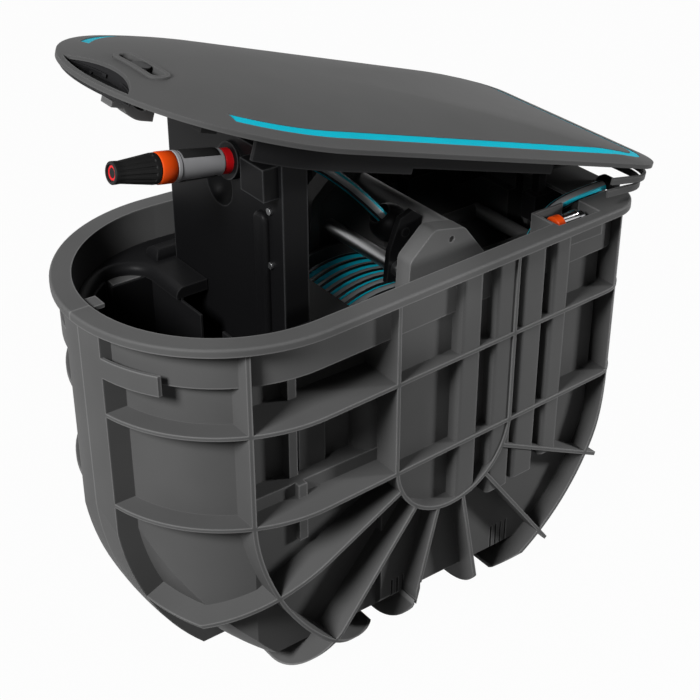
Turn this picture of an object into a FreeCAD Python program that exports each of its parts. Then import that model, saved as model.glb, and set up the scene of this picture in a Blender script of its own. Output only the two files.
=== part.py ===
import FreeCAD, Part
import math
import os
import re

from FreeCAD import Placement, Rotation, Vector

# In-ground hose box: a ribbed two-part tub, a hinged dome lid, a lift panel that presents the nozzle
# and a hose reel. Millimetres. X runs from the front to the hinge end, Z is up, and the origin lies
# on the ground plane of the tub, under the reel axle.

DIMENSIONS = {
    # Tub
    "tub_length": 713, "tub_width": 400, "front_centre": 206, "rear_corner": 52, "rear_x": 255, "rear_y": 127,
    "bowl_ease": 1, "tub_height": 510, "rim_lip": 10, "rim_plate": 4,
    "rib_inset": 8, "wall_low": 27, "wall_high": 14, "wall": 3.5, "rib": 5, "corner": 76,
    "axis_height": 273, "band_half": 40, "band_skin": 4, "flange": 4, "shelf_seat": 451,
    "ring_reach": 288, "rear_ring": 275, "arch_radius": 93, "arch_inset": 19,
    "rib_upper": 391, "rib_middle": 265,
    "recess_half": 125, "recess_low_half": 150, "recess_step": 285, "fin_first": 24, "fin_step": 25.7,
    "bay_column": 14, "bay_plate": 8, "swell_radius": 24,
    "grip_plate_low": 440, "grip_plate_high": 466, "grip_plate_reach": 110,
    "deck_front": 237, "deck_plate": 5, "slot_front": 212, "slot_rear": 290, "slot_y": -119, "slot_half": 10,
    "slot_depth": 16,
    "post_face": 2, "post_round": 7,
    "drain_width": 3, "drain_step": 9,
    # Rear pocket and its tap fitting
    "pocket_front": 166, "pocket_rear": 234, "pocket_near": 166, "pocket_far": 124, "pocket_floor": 482,
    "tap_body_radius": 11, "tap_ring_radius": 14, "tap_spigot_radius": 8,
    # Seam fasteners
    "bolt_radius": 3, "bolt_clearance": 0.3, "bolt_head": 5, "bolt_head_height": 4, "bolt_inset": 16,
    # Tray
    "tray_plate": 14, "tray_clearance": 1, "tray_rear": -106, "basin_rear": -240, "basin_floor": 330,
    "basin_half": 114, "basin_wall": 3, "basin_lip": 11, "mouth_rear": -246, "mouth_corner": 34,
    "notch_far": 45, "gate_margin": 6, "guide_height": 12, "guide_depth": 26,
    # Lift panel
    "panel_front": -202, "panel_depth": 33, "panel_half": 118, "panel_top": 675, "panel_foot": 310,
    "panel_wall": 4, "panel_clearance": 1.2, "panel_drop": 205, "finger_radius": 30,
    # Nozzle
    "nozzle_y": -21, "nozzle_z": 643, "nozzle_tilt": 9.6, "nozzle_radius": 17.5, "nozzle_body": 62,
    "nozzle_ring": 19, "nozzle_head": 54, "nozzle_nose": 12.5, "holder_wall": 4, "holder_length": 7,
    "collar_length": 10, "collar_radius": 14.5,
    # Reel
    "frame_inner": 88, "frame_thick": 25, "frame_web": 5, "frame_margin": 14, "tube_radius": 13,
    "tube_x": 58, "tube_z": 503, "bar_x": 8, "bar_z": 455, "bar_radius": 10, "axle_radius": 8,
    "axle_fit": 0.05, "drum_half": 78, "flange_radius": 158, "flange_plate": 5, "barrel_radius": 60,
    "barrel_wall": 5, "spring_radius": 50, "spring_half": 55, "ball_radius": 24, "ball_bore": 13.5,
    "handle_x": 228, "handle_root": 112, "handle_z": 427, "handle_half": 52, "handle_radius": 10,
    # Hose
    "hose": 15.5, "wind_radius": 142, "wind_pitch": 16.4, "wind_turns": 8, "wind_gap": 0.8,
    # Lid, in its closed place
    "lid_overhang": 1, "lid_rear_reach": 27, "lid_apex": -140, "lid_power": 2.4,
    "lid_edge": 517, "lid_lip": 5.5, "lid_rise": 28, "lid_wall": 3.5, "lid_open": 18,
    "hinge_x": 410, "hinge_z": 522.5, "arm_radius": 191, "arm_wall": 12, "arm_y": 72, "arm_width": 12,
    "arm_drop": 30, "guide_low": 470, "guide_fit": 0.4, "pin_radius": 3,
    "skirt_inset": 28.5, "skirt_wall": 4, "skirt_gap": 1, "liner_rear": 205, "liner_plate": 4,
    "skirt_front": -285, "skirt_step": -80, "skirt_rear": 150, "skirt_deep": 489, "skirt_foot": 496,
    "stripe_inset": 18.5, "stripe_width": 13, "stripe_depth": 2.2, "stripe_sunk": 0.9,
    "stripe_near_back": 94, "stripe_far_back": 68,
    "grip_lead": 70, "grip_inset": 6, "grip_deep": 42,
    "lock_back": 70, "lock_half": 46, "lock_width": 26, "slider_half": 13,
    "lamella_front": 238, "lamella_wall": 3.5, "lamella_gap": 1.7, "lamella_fit": 0.35,
    "lamella_height": 17, "lamella_room": 0.9, "finger_wall": 3.5,
    "hook_radius": 32, "hook_wall": 11, "hook_width": 22, "hook_back": 85, "hook_y": 12, "hook_z": 510,
    "bumper_back": 90, "bumper_long": 20, "bumper_wide": 16, "bumper_y": 92,
    "keeper_wall": 5, "keeper_reach": 41,
}

# Raised posts on each long side: left edge, right edge and foot height
POSTS = ((4, 39, 180), (60, 99, 163), (104, 143, 166), (155, 186, 180))

for number, (left, right, foot) in enumerate(POSTS, 1):
    DIMENSIONS["post%d_left" % number] = left
    DIMENSIONS["post%d_right" % number] = right
    DIMENSIONS["post%d_foot" % number] = foot

ROTATIONS = {
    "x": Rotation(Vector(0, 1, 0), 90),
    "y": Rotation(Vector(1, 0, 0), -90),
    "z": Rotation(),
}

doc = FreeCAD.newDocument("hose_box")
sheet = doc.addObject("Spreadsheet::Sheet", "Dims")
for row, (alias, value) in enumerate(DIMENSIONS.items(), 1):
    sheet.set("A%d" % row, alias)
    sheet.set("B%d" % row, str(value))
    sheet.setAlias("B%d" % row, alias)
doc.recompute()

size = {alias: float(sheet.get(alias)) for alias in DIMENSIONS}
WORD = re.compile(r"[a-z][a-z0-9_]*")
nodes = []


# Helpers: expressions, primitives and booleans

def formula(text):
    """Point every dimension name in a formula at its cell."""
    def cell(match):
        word = match.group()
        return "Dims." + word if word in DIMENSIONS else word
    return WORD.sub(cell, str(text))


def bind(item, **properties):
    """Bind properties of a document object to formulas."""
    for name, text in properties.items():
        item.setExpression(name, formula(text))
    return item


def locate(item, x=0, y=0, z=0):
    """Bind the place of a document object to formulas."""
    for axis, text in (("x", x), ("y", y), ("z", z)):
        item.setExpression("Placement.Base." + axis, formula(text))
    return item


def box(name, x0, x1, y0, y1, z0, z1):
    """A block between six formulas."""
    block = doc.addObject("Part::Box", name)
    bind(block, Length="(%s) - (%s)" % (x1, x0), Width="(%s) - (%s)" % (y1, y0),
         Height="(%s) - (%s)" % (z1, z0))
    return locate(block, x0, y0, z0)


def cylinder(name, axis, radius, length, x=0, y=0, z=0):
    """A round bar that starts at a point and runs along an axis."""
    bar = doc.addObject("Part::Cylinder", name)
    bar.Placement = Placement(Vector(), ROTATIONS[axis])
    bind(bar, Radius=radius, Height=length)
    return locate(bar, x, y, z)


def cone(name, axis, radius1, radius2, length, x=0, y=0, z=0):
    """A tapered bar that starts at a point and runs along an axis."""
    bar = doc.addObject("Part::Cone", name)
    bar.Placement = Placement(Vector(), ROTATIONS[axis])
    bind(bar, Radius1=radius1, Radius2=radius2, Height=length)
    return locate(bar, x, y, z)


def ball(name, radius, x, y, z):
    """A sphere at a point."""
    sphere = doc.addObject("Part::Sphere", name)
    bind(sphere, Radius=radius)
    return locate(sphere, x, y, z)


def prism(name, outline, y0, y1):
    """A flat outline of (x, z) points drawn out along Y."""
    loop = doc.addObject("Part::Polygon", name + "_outline")
    loop.Nodes = [Vector(x, y0, z) for x, z in outline]
    loop.Close = True
    block = doc.addObject("Part::Extrusion", name)
    block.Base = loop
    block.Dir = Vector(0, 1, 0)
    block.DirMode = "Custom"
    block.LengthFwd = y1 - y0
    block.Solid = True
    return block


def fuse(name, *items):
    """The union of several objects."""
    union = doc.addObject("Part::MultiFuse", name)
    union.Shapes = list(items)
    union.Refine = True
    return union


def common(name, *items):
    """What several objects share."""
    shared = doc.addObject("Part::MultiCommon", name)
    shared.Shapes = list(items)
    shared.Refine = True
    return shared


def cut(name, base, *tools):
    """An object with others taken out of it."""
    rest = doc.addObject("Part::Cut", name)
    rest.Base = base
    rest.Tool = tools[0] if len(tools) == 1 else fuse(name + "_tools", *tools)
    rest.Refine = True
    return rest


def group(name, *items):
    """Separate solids that share one node."""
    bunch = doc.addObject("Part::Compound", name)
    bunch.Links = list(items)
    return bunch


def round_edges(name, base, radius, wanted):
    """Round the edges that pass a test on their two end points."""
    doc.recompute()
    rounded = doc.addObject("Part::Fillet", name)
    rounded.Base = base
    picked = []
    for number, edge in enumerate(base.Shape.Edges, 1):
        ends = [vertex.Point for vertex in edge.Vertexes]
        if len(ends) == 2 and wanted(ends[0], ends[1]):
            picked.append((number, radius, radius))
    rounded.Edges = picked
    return rounded


def solid(name, shape):
    """A free-form piece whose shape is worked out in code."""
    piece = doc.addObject("Part::Feature", name)
    piece.Shape = shape
    return piece


def node(label, item, placement=None):
    """Name an object as a sub-part of the hose box."""
    item.Label = label
    if placement is not None:
        item.Placement = placement
    nodes.append(item)
    return item


def upright(a, b):
    """Whether an edge runs along Z."""
    return abs(a.x - b.x) < 1e-6 and abs(a.y - b.y) < 1e-6


# Tub outline: a round front, sides that close in slightly and a blunt rear with round corners

def outline(inset, z, grow=0, reach=0, scale=1, middle=0):
    """A closed wire at a height, drawn in from the rim's outline, or scaled about a point of the X axis."""
    front = size["tub_width"] / 2 + grow - inset
    corner = size["rear_corner"] + grow - inset
    nose = Vector(-size["front_centre"], 0, z)
    rear_x = size["rear_x"] + reach
    span = math.hypot(rear_x + size["front_centre"], size["rear_y"])
    lean = math.atan2(size["rear_y"], rear_x + size["front_centre"])
    turn = lean + math.acos((front - corner) / span)
    half = turn / 2

    def at(centre, radius, angle):
        point = centre + Vector(radius * math.cos(angle), -radius * math.sin(angle), 0)
        return Vector(middle + (point.x - middle) * scale, point.y * scale, z)

    near = Vector(rear_x, -size["rear_y"], z)
    far = Vector(rear_x, size["rear_y"], z)
    marks = [at(nose, front, turn), at(near, corner, turn), at(near, corner, 0),
             at(far, corner, 0), at(far, corner, -turn), at(nose, front, -turn)]
    return Part.Wire([
        Part.LineSegment(marks[0], marks[1]).toShape(),
        Part.Arc(marks[1], at(near, corner, half), marks[2]).toShape(),
        Part.LineSegment(marks[2], marks[3]).toShape(),
        Part.Arc(marks[3], at(far, corner, -half), marks[4]).toShape(),
        Part.LineSegment(marks[4], marks[5]).toShape(),
        Part.Arc(marks[5], at(nose, front, math.pi), marks[0]).toShape(),
    ])


def racetrack(name, inset, z0, z1):
    """An upright prism that follows the rim's outline at an inset."""
    face = solid(name + "_face", Part.Face(outline(inset, 0)))
    block = doc.addObject("Part::Extrusion", name)
    block.Base = face
    block.DirMode = "Custom"
    block.Dir = Vector(0, 0, 1)
    block.Solid = True
    bind(block, LengthFwd="(%s) - (%s)" % (z1, z0))
    return locate(block, 0, 0, z0)


RIB_INSET = size["rib_inset"]
HALF = "(tub_width / 2 - rib_inset)"
HALF_WIDTH = size["tub_width"] / 2 - RIB_INSET
END_CENTRE = size["front_centre"]
FRONT_REACH = size["tub_width"] / 2 + size["front_centre"] - RIB_INSET
REAR_REACH = size["rear_x"] + size["rear_corner"] - RIB_INSET


def envelope(name, inset):
    """The tub's outside drawn in by an inset: round ends, round belly, flat bottom, soft corners."""
    depth = "%g" % inset
    width = "(%s - %s)" % (HALF, depth)
    rear = "(rear_x + rear_corner - rib_inset - %s)" % depth
    bend = "(corner - %s)" % depth
    plan = racetrack(name + "_plan", RIB_INSET + inset, depth, "tub_height")
    front = ball(name + "_front", "tub_width / 2 + front_centre - rib_inset + bowl_ease - %s" % depth, 0, 0,
                 "axis_height")
    trunk = box(name + "_trunk", "-front_centre / 2", "0", "-tub_width", "tub_width", depth, "axis_height")
    belly = cylinder(name + "_belly", "y", rear, "2 * tub_width", 0, "-tub_width", "axis_height")
    rear_half = box(name + "_rear_half", "0", "tub_length", "-tub_width", "tub_width", "-rib", "tub_height")
    lower_rear = common(name + "_lower_rear", belly, rear_half)
    front_half = box(name + "_front_half", "-tub_length", "0", "-tub_width", "tub_width", "-rib", "tub_height")
    lower_front = common(name + "_lower_front", front, front_half)
    upper = box(name + "_upper", "-tub_length", "tub_length", "-tub_width", "tub_width", "axis_height",
                "tub_height")
    side = fuse(name + "_side", lower_front, trunk, lower_rear, upper)
    inner = "(%s - corner)" % HALF
    floor = box(name + "_floor", "-tub_length", "tub_length", "-" + inner, inner, depth, "tub_height")
    sides = box(name + "_sides", "-tub_length", "tub_length", "-" + width, width, "corner", "tub_height")
    bends = [cylinder(name + "_bend%d" % index, "x", bend, "2 * tub_length", "-tub_length",
                      sign + inner, "corner") for index, sign in enumerate(("-", ""))]
    cross = fuse(name + "_cross", floor, sides, *bends)
    return common(name, plan, side, cross)


rib_space = envelope("rib_space", 0)
skin_space = envelope("skin_space", size["band_skin"])
wall_space = envelope("wall_space", size["wall_low"])
hollow_space = envelope("hollow_space", size["wall_low"] + size["wall"])
UPPER_INSET = RIB_INSET + size["wall_high"]


# Tub walls with their recessed bays

def recess(name, grow):
    """The deep bays beside the lift panel, in two depths."""
    front = "-(ring_reach - rib / 2) - (%s)" % grow
    rear = "-(arch_radius + rib / 2) + (%s)" % grow
    bays = []
    for index, sign in enumerate((-1, 1)):
        for depth, low, high in (("recess_half", "recess_step - (%s)" % grow, "shelf_seat - wall"),
                                 ("recess_low_half", "-rib", "recess_step")):
            inner = "(%s - (%s))" % (depth, grow)
            outer = "tub_width"
            y0, y1 = ("-" + outer, "-" + inner) if sign < 0 else (inner, outer)
            top = "%s + (%s)" % (high, grow)
            bays.append(box("%s_%d_%s" % (name, index, depth), front, rear, y0, y1, low, top))
    return fuse(name, *bays)


lower_wall = cut("lower_wall", wall_space, recess("recess_outside", "0"))
upper_wall = racetrack("upper_wall", UPPER_INSET, "shelf_seat - wall", "tub_height")
lower_hollow = cut("lower_hollow", hollow_space, recess("recess_inside", "wall"))
upper_hollow = racetrack("upper_hollow", UPPER_INSET + size["wall"], "shelf_seat", "tub_height + wall")


def arch(name, inset, radius):
    """The arched bay over the reel axle, on both long sides."""
    head = cylinder(name + "_round", "y", radius, "2 * tub_width", 0, "-tub_width", "axis_height")
    legs = box(name + "_legs", "-(%s)" % radius, radius, "-tub_width", "tub_width", "axis_height", "tub_height")
    skin = racetrack(name + "_skin", RIB_INSET + inset, "0", "tub_height")
    return common(name, fuse(name + "_bay", head, legs), skin)


arch_wall = arch("arch_wall", size["arch_inset"], "arch_radius")
arch_hollow = arch("arch_hollow", size["arch_inset"] + size["wall"], "arch_radius - rib")


# Tub ribs, posts, band and rim

def ring(name, radius, keep):
    """A curved rib about the reel axle, cut to a block."""
    outer = cylinder(name + "_outer", "y", "%s + rib / 2" % radius, "tub_width", 0, "-tub_width / 2",
                     "axis_height")
    inner = cylinder(name + "_inner", "y", "%s - rib / 2" % radius, "tub_width", 0, "-tub_width / 2",
                     "axis_height")
    return common(name, cut(name + "_loop", outer, inner), keep)


def leg(name, x):
    """An upright rib from the axle height to the rim."""
    return box(name, "%s - rib / 2" % x, "%s + rib / 2" % x, "-tub_width / 2", "tub_width / 2",
               "axis_height", "tub_height - rim_plate")


def fin(number):
    """A rib that runs out from the arch like a spoke."""
    name = "fin%d" % number
    angle = size["fin_first"] + number * size["fin_step"]
    spoke = doc.addObject("Part::Box", name)
    bind(spoke, Length="tub_length", Width="tub_width", Height="rib")
    turn = Rotation(Vector(0, 1, 0), 180 - angle)
    start = turn.multVec(Vector(size["arch_radius"], 0, -size["rib"] / 2))
    spoke.Placement = Placement(Vector(start.x, -size["tub_width"] / 2, start.z + size["axis_height"]), turn)
    return spoke


below_rear = box("below_rear", "arch_radius", "tub_length", "-tub_width", "tub_width", "-rib", "axis_height")
below = box("below_axle", "-tub_length", "tub_length", "-tub_width", "tub_width", "-rib", "axis_height")
below_front = box("below_front", "-tub_length", "-arch_radius", "-tub_width", "tub_width", "-rib",
                  "axis_height")
strips = [
    box("rib_upper_strip", "-tub_length", "tub_length", "-tub_width / 2", "tub_width / 2",
        "rib_upper - rib / 2", "rib_upper + rib / 2"),
    box("rib_middle_strip", "-tub_length", "tub_length", "-tub_width / 2", "tub_width / 2",
        "rib_middle - rib / 2", "rib_middle + rib / 2"),
    leg("front_leg", "-ring_reach"),
    leg("rear_leg", "rear_ring"),
    leg("arch_leg_front", "-arch_radius"),
    leg("arch_leg_rear", "arch_radius"),
    ring("front_ring", "ring_reach", below_front),
    ring("rear_hoop", "rear_ring", below_rear),
    ring("arch_ring", "arch_radius", below),
]
FIN_COUNT = 6
strips += [fin(number) for number in range(FIN_COUNT)]
ribs = common("ribs", fuse("rib_strips", *strips), rib_space)


def posts(name, grow):
    """The raised posts of both long sides, or the hollows behind them."""
    blocks = []
    for number in range(1, len(POSTS) + 1):
        left = "post%d_left + %g" % (number, grow)
        right = "post%d_right - %g" % (number, grow)
        foot = "post%d_foot + %g" % (number, grow)
        column = box("%s%d_column" % (name, number), left, right, "-tub_width", "tub_width", foot,
                     "tub_height - rim_plate")
        skin = racetrack("%s%d_skin" % (name, number), RIB_INSET + size["post_face"] + grow, "0", "tub_height")
        blocks.append(common("%s%d" % (name, number), column, skin))
    return blocks


post_blocks = [round_edges(block.Name + "_round", block, size["post_round"], upright)
               for block in posts("post", 0)]
post_hollows = posts("post_hollow", size["wall"])

band_slab = box("band_slab", "-tub_length", "tub_length", "-band_half", "band_half", "-rib", "tub_height")
band = common("band", band_slab, rib_space)
channels = common(
    "channels", skin_space,
    fuse("channel_slabs",
         box("channel_near", "-tub_length", "tub_length", "band_skin - band_half", "-flange", "0",
             "tub_height - rim_lip"),
         box("channel_far", "-tub_length", "tub_length", "flange", "band_half - band_skin", "0",
             "tub_height - rim_lip")))

rim_outer = racetrack("rim_outer", 0, "tub_height - rim_lip", "tub_height")
RIM_ROUND = 3


def rim_edge(a, b):
    """Whether an edge lies on the outer upper corner of the rim."""
    top = size["tub_height"]
    return abs(a.z - top) < 1e-6 and abs(b.z - top) < 1e-6


rim_soft = round_edges("rim_soft", rim_outer, RIM_ROUND, rim_edge)
rim_under = racetrack("rim_under", size["rim_plate"], "tub_height - 2 * rim_lip",
                      "tub_height - rim_plate")
rim = cut("rim", rim_soft, rim_under)

skin_inner = envelope("skin_inner", size["rim_plate"])
grip_blocks = []
for end, (x0, x1) in enumerate((("-tub_length", "-front_centre"), ("rear_x", "tub_length"))):
    for side, (y0, y1) in enumerate((("-grip_plate_reach", "band_skin - band_half"),
                                     ("band_half - band_skin", "grip_plate_reach"))):
        grip_blocks.append(box("grip_block%d%d" % (end, side), x0, x1, y0, y1, "grip_plate_low",
                               "grip_plate_high"))
grip_plates = cut("grip_plates", common("grip_skin", rib_space, fuse("grip_blocks", *grip_blocks)), skin_inner)

# The deck over the hinge end, with the open pocket on its near side
deck = common("deck", racetrack("deck_plan", UPPER_INSET, "tub_height - deck_plate", "tub_height"),
              box("deck_block", "deck_front", "tub_length", "-tub_width", "tub_width", "0",
                  "tub_height"))
pocket_body = box("pocket_body", "pocket_front - wall", "pocket_rear + wall", "-(pocket_near + wall)",
                  "wall - pocket_far", "pocket_floor - wall", "tub_height")
pocket_room = box("pocket_room", "pocket_front", "pocket_rear", "-pocket_near", "-pocket_far",
                  "pocket_floor", "tub_height + wall")

# Stiffeners in the bays: a slim column, a plate beside it and a rounded swell in front of the posts
stiffeners = []
for side, sign in (("near", -1), ("far", 1)):
    def bay_box(name, x0, x1, half, proud, z0, z1):
        """A block on the bay's wall that stands proud of it."""
        ends = ["%d * (%s + %s)" % (sign, half, proud), "%d * (%s - wall / 2)" % (sign, half)]
        y0, y1 = ends if sign < 0 else ends[::-1]
        return box("%s_%s" % (name, side), x0, x1, y0, y1, z0, z1)

    stiffeners += [
        bay_box("bay_column", "-216", "-204", "recess_half", "bay_column", "recess_step - rib",
                "shelf_seat - wall / 2"),
        bay_box("bay_foot", "-216", "-204", "recess_low_half", "bay_plate", "recess_step - 80", "recess_step"),
        bay_box("bay_plate", "-198", "-160", "recess_half", "bay_plate", "recess_step - rib",
                "recess_step + 67"),
        cylinder("swell_%s" % side, "z", "swell_radius", "65", -96, "%d * recess_half" % sign,
                 "recess_step - rib"),
        ball("swell_top_%s" % side, "swell_radius", -96, "%d * recess_half" % sign, "recess_step - rib + 65"),
    ]

shell = fuse("shell", lower_wall, upper_wall, arch_wall, ribs, band, rim, grip_plates, *post_blocks,
             *stiffeners)
room = fuse("room", lower_hollow, upper_hollow, arch_hollow, channels, *post_hollows)
tub_open = cut("tub_open", shell, room)
tub_decked = fuse("tub_decked", tub_open, deck, pocket_body)

# Bolts along the seam flange
BELLY_BOLT = 32
FLOOR_BOLTS = (-150, 0, 90)
bolt_points = [(x, size["bolt_inset"]) for x in FLOOR_BOLTS]
for side, reach in ((-1, FRONT_REACH - size["bolt_inset"]), (1, REAR_REACH - size["bolt_inset"])):
    for height in (size["rib_upper"] + 30, size["axis_height"] + 55):
        bolt_points.append((side * reach, height))
    turn = math.radians(BELLY_BOLT)
    bolt_points.append((side * reach * math.cos(turn), size["axis_height"] - reach * math.sin(turn)))

bolt_holes = [cylinder("bolt_hole%d" % index, "y", "bolt_radius + bolt_clearance", "4 * flange", x,
                       "-2 * flange", z) for index, (x, z) in enumerate(bolt_points)]
drains = []
DRAIN_GROUPS = (-78, 96)
DRAINS_EACH = 4
for start in DRAIN_GROUPS:
    for index in range(DRAINS_EACH):
        for side, (y0, y1) in enumerate((("-%s" % HALF, "corner - %s" % HALF),
                                         ("%s - corner" % HALF, HALF))):
            left = "%g + %d * drain_step" % (start, index)
            drains.append(box("drain_%d_%d_%d" % (start, index, side), left, left + " + drain_width",
                              y0, y1, "corner / 2", "corner"))
hose_slot = box("hose_slot", "slot_front", "slot_rear", "slot_y - slot_half", "slot_y + slot_half",
                "tub_height - slot_depth", "tub_height + 1")
tub = cut("tub", tub_decked, pocket_room, hose_slot, *bolt_holes, *drains)
near_space = box("near_space", "-tub_length", "tub_length", "-tub_width", "0", "-rib", "2 * tub_height")
far_space = box("far_space", "-tub_length", "tub_length", "0", "tub_width", "-rib", "2 * tub_height")
node("tub_half_near", common("half_near", tub, near_space))
node("tub_half_far", common("half_far", tub, far_space))

bolts = []
nuts = []
for index, (x, z) in enumerate(bolt_points):
    shank = cylinder("bolt_shank%d" % index, "y", "bolt_radius", "2 * flange + bolt_head_height", x,
                     "-flange", z)
    head = cylinder("bolt_head%d" % index, "y", "bolt_head", "bolt_head_height", x,
                    "-flange - bolt_head_height", z)
    bolts.append(fuse("bolt%d" % index, shank, head))
    blank = doc.addObject("Part::Prism", "nut_blank%d" % index)
    blank.Polygon = 6
    blank.Placement = Placement(Vector(), ROTATIONS["y"])
    bind(blank, Circumradius="bolt_head", Height="bolt_head_height")
    locate(blank, x, "flange", z)
    bore = cylinder("nut_bore%d" % index, "y", "bolt_radius + bolt_clearance / 10",
                    "bolt_head_height", x, "flange", z)
    nuts.append(cut("nut%d" % index, blank, bore))
node("seam_bolts", group("bolts", *bolts))
node("seam_nuts", group("nuts", *nuts))


# Tray: shelf, front basin and panel guides

tray_plan = racetrack("tray_plan", UPPER_INSET + size["wall"] + size["tray_clearance"], "shelf_seat",
                      "shelf_seat + tray_plate")
tray_keep = box("tray_keep", "-tub_length", "tray_rear", "-tub_width", "tub_width", "0", "tub_height")
BASIN_FRONT = "-(ring_reach + rib / 2 + wall + tray_clearance)"


def basin(name, grow, floor, top):
    """The basin in front of the panel: wide and round in front, narrow between the bays."""
    inset = RIB_INSET + size["wall_low"] + size["wall"] + size["tray_clearance"] + size["basin_wall"] - grow
    wide = common(name + "_wide",
                  racetrack(name + "_plan", inset, floor, top),
                  box(name + "_block", "-tub_length", BASIN_FRONT, "-tub_width", "tub_width", floor, top))
    narrow = box(name + "_narrow", BASIN_FRONT + " - rib", "basin_rear + %g" % grow,
                 "-basin_half - %g" % grow, "basin_half + %g" % grow, floor, top)
    return fuse(name, wide, narrow)


basin_outer = basin("basin_outer", size["basin_wall"], "basin_floor", "shelf_seat + wall / 2")
basin_room = basin("basin_room", 0, "basin_floor + basin_wall", "shelf_seat + 2 * tray_plate")
PANEL_REAR = "(panel_front + panel_depth)"
panel_slot = box("panel_slot", "panel_front - panel_clearance", PANEL_REAR + " + panel_clearance",
                 "-panel_half - panel_clearance", "panel_half + panel_clearance", "0", "tub_height")
guides = []
for index, (y0, y1) in enumerate((("-panel_half - panel_clearance - guide_depth",
                                   "-panel_half - panel_clearance"),
                                  ("panel_half + panel_clearance",
                                   "panel_half + panel_clearance + guide_depth"))):
    block = box("guide_block%d" % index, "panel_front - guide_depth", PANEL_REAR + " + panel_clearance",
                y0, y1, "shelf_seat", "shelf_seat + tray_plate + guide_height")
    guides.append(round_edges("guide%d" % index, block, 9, lambda a, b: a.z > size["shelf_seat"] + 1
                              and b.z > size["shelf_seat"] + 1))
mouth_plan = common("mouth_plan",
                    racetrack("mouth_track",
                              RIB_INSET + size["wall_low"] + size["wall"] + size["tray_clearance"],
                              "0", "tub_height"),
                    box("mouth_block", "-tub_length", "mouth_rear", "-tub_width", "tub_width", "0",
                        "tub_height"))
mouth = round_edges("mouth", mouth_plan, size["mouth_corner"],
                    lambda a, b: upright(a, b) and abs(a.x - size["mouth_rear"]) < 1e-6)
tray_shelf = cut("tray_shelf", common("tray_plate_cut", tray_plan, tray_keep), mouth)


def lip_edge(a, b):
    """Whether an edge lies on the upper corner of the basin's mouth."""
    top = size["shelf_seat"] + size["tray_plate"]
    flat = abs(a.z - top) < 1e-6 and abs(b.z - top) < 1e-6
    reach = HALF_WIDTH - size["wall_low"] - size["wall"]
    inside = max(math.hypot(p.x + END_CENTRE, p.y) for p in (a, b)) < reach
    return flat and inside and max(a.x, b.x) < size["mouth_rear"] + 1


tray_lipped = round_edges("tray_lipped", tray_shelf, size["basin_lip"], lip_edge)
basin_shell = cut("basin_shell", basin_outer, basin_room)
nozzle_notch = box("nozzle_notch", "mouth_rear - mouth_corner", "panel_front", "2 - panel_half", "notch_far",
                   "shelf_seat - wall", "tub_height")
nozzle_gate = box("nozzle_gate", "basin_rear - 2 * basin_wall", "panel_front",
                  "nozzle_y - nozzle_radius - gate_margin", "nozzle_y + nozzle_radius + gate_margin",
                  "nozzle_z - panel_drop - nozzle_radius - gate_margin", "tub_height")
tray_body = fuse("tray_body", tray_lipped, basin_shell, *guides)
node("tray", cut("tray_slotted", tray_body, panel_slot, nozzle_notch, nozzle_gate))


# Lift panel

panel_block = box("panel_block", "panel_front", PANEL_REAR, "-panel_half", "panel_half", "panel_foot",
                  "panel_top")
panel_hollow = box("panel_hollow", "panel_front + panel_wall", PANEL_REAR + " + panel_wall",
                   "panel_wall - panel_half", "panel_half - panel_wall", "panel_foot - panel_wall",
                   "panel_top - panel_wall")
BOWL = ("panel_front - panel_wall * 3", "nozzle_y + 30", "nozzle_z - 38")
finger_bowl = ball("finger_bowl", "finger_radius", *BOWL)
bowl_back = common("bowl_back", ball("bowl_ball", "finger_radius + panel_wall", *BOWL), panel_block)
hose_port = cylinder("hose_port", "x", "nozzle_radius", "3 * panel_wall", "panel_front - panel_wall",
                     "nozzle_y", "nozzle_z")
channel = box("panel_channel", "panel_front - 1", "panel_front + panel_wall / 2", "-panel_half + 34",
              "-panel_half + 48", "panel_foot + 120", "nozzle_z - 50")
lug = box("panel_lug", "panel_front - 20", "panel_front", "-panel_half + 6", "-panel_half + 50",
          "nozzle_z - 12", "panel_top - 6")
panel_shell = cut("panel_shell", panel_block, panel_hollow)
panel_cut = cut("panel_cut", fuse("panel_lugged", panel_shell, lug, bowl_back), finger_bowl, hose_port, channel)
node("lift_panel", panel_cut)
screws = [cylinder("panel_screw%d" % index, "x", "bolt_radius + 1", "bolt_radius", "panel_front - bolt_radius",
                   "24 - panel_half", z) for index, z in enumerate(("nozzle_z - 34", "nozzle_z - 100"))]
node("panel_screws", group("panel_screw_group", *screws))


# Nozzle, drawn level along -X from its tail and then tilted

nozzle_place = Placement(Vector(size["panel_front"], size["nozzle_y"], size["nozzle_z"]),
                         Rotation(Vector(0, 1, 0), size["nozzle_tilt"]))
BODY_START = "(holder_length + collar_length)"
BODY_END = "(%s + nozzle_body)" % BODY_START
RING_END = "(%s + nozzle_ring)" % BODY_END
HEAD_END = "(%s + nozzle_head)" % RING_END


def turned(name, radius1, radius2, start, end):
    """A round part of the nozzle between two distances from its tail."""
    return cone(name, "x", radius2, radius1, "(%s) - (%s)" % (end, start), "-(%s)" % end)


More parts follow.
